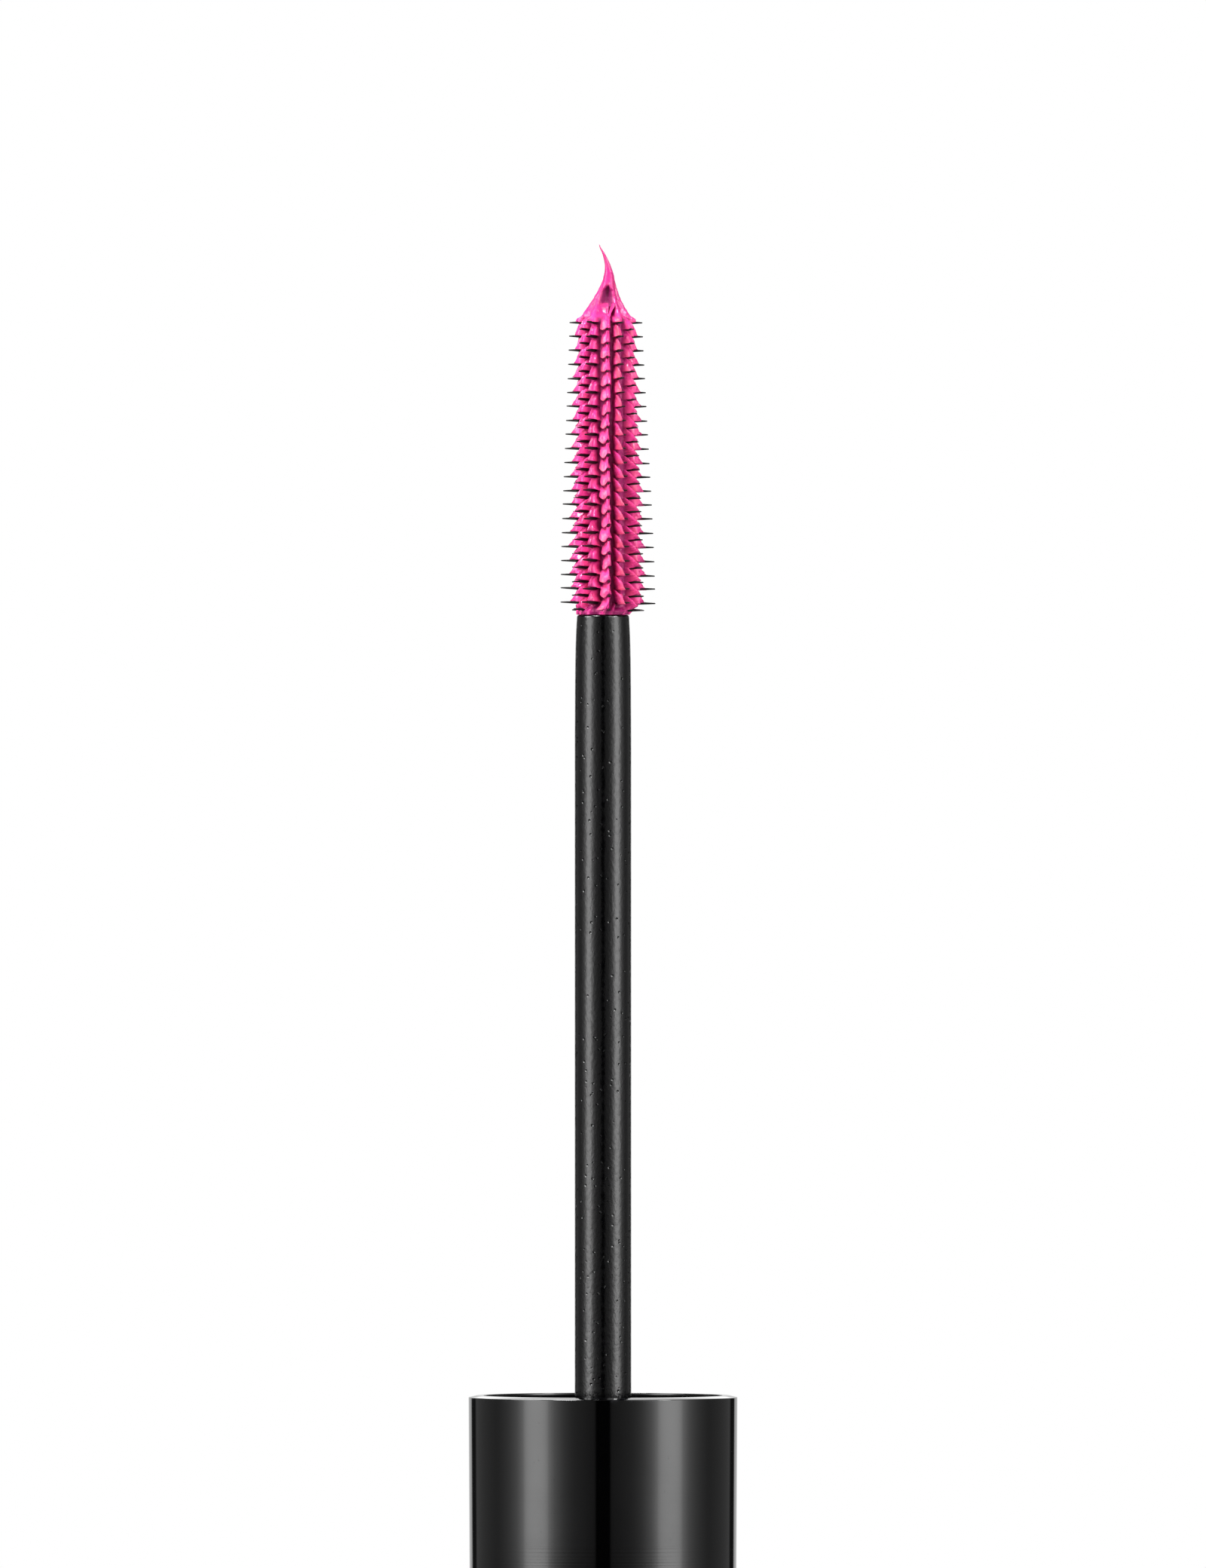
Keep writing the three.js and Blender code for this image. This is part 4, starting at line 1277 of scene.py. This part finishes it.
class MASCARA_OT_stage(bpy.types.Operator):
    """Set up the camera, the pale floor and the studio light"""
    bl_idname = "mascara.stage"
    bl_label = "Stage"

    def execute(self, context):
        stage = context.scene.mascara_stage
        lens = bpy.data.cameras.new("camera")
        lens.sensor_width = 36
        lens.lens = lens.sensor_width * stage.camera_distance / stage.view_height
        camera = bpy.data.objects.new("camera", lens)
        camera.location = (0, -stage.camera_distance, stage.camera_height)
        camera.rotation_euler = (math.pi / 2, 0, 0)
        context.scene.collection.objects.link(camera)
        context.scene.camera = camera
        context.scene.view_settings.view_transform = "Standard"
        studio_light(stage)
        pale_floor(stage)
        return {"FINISHED"}


class MASCARA_PT_panel(bpy.types.Panel):
    """Lists the steps that build the mascara applicator"""
    bl_idname = "MASCARA_PT_panel"
    bl_label = "Mascara applicator"
    bl_space_type = "VIEW_3D"
    bl_region_type = "UI"
    bl_category = "Mascara"

    def draw(self, context):
        for operator in OPERATORS:
            self.layout.operator(operator.bl_idname)
        for group in GROUPS:
            settings = getattr(context.scene, group)
            box = self.layout.box()
            for name in settings.__annotations__:
                box.prop(settings, name)


OPERATORS = (MASCARA_OT_stage, MASCARA_OT_overcap, MASCARA_OT_liner, MASCARA_OT_washer, MASCARA_OT_stem,
             MASCARA_OT_bristles, MASCARA_OT_load, MASCARA_OT_inside)
GROUPS = {
    "mascara_cap": MascaraCapProperties,
    "mascara_stem": MascaraStemProperties,
    "mascara_brush": MascaraBrushProperties,
    "mascara_load": MascaraLoadProperties,
    "mascara_stage": MascaraStageProperties,
}


def register():
    """Registers the settings, the steps and the panel."""
    for group, settings in GROUPS.items():
        bpy.utils.register_class(settings)
        setattr(bpy.types.Scene, group, bpy.props.PointerProperty(type=settings))
    for operator in OPERATORS:
        bpy.utils.register_class(operator)
    bpy.utils.register_class(MASCARA_PT_panel)


def unregister():
    """Takes away what register added."""
    bpy.utils.unregister_class(MASCARA_PT_panel)
    for operator in reversed(OPERATORS):
        bpy.utils.unregister_class(operator)
    for group, settings in GROUPS.items():
        delattr(bpy.types.Scene, group)
        bpy.utils.unregister_class(settings)


def main():
    """Builds every piece."""
    register()
    bpy.ops.mascara.stage()
    bpy.ops.mascara.overcap()
    bpy.ops.mascara.liner()
    bpy.ops.mascara.washer()
    bpy.ops.mascara.stem()
    bpy.ops.mascara.bristles()
    bpy.ops.mascara.load()
    bpy.ops.mascara.inside()


if __name__ == "__main__":
    main()
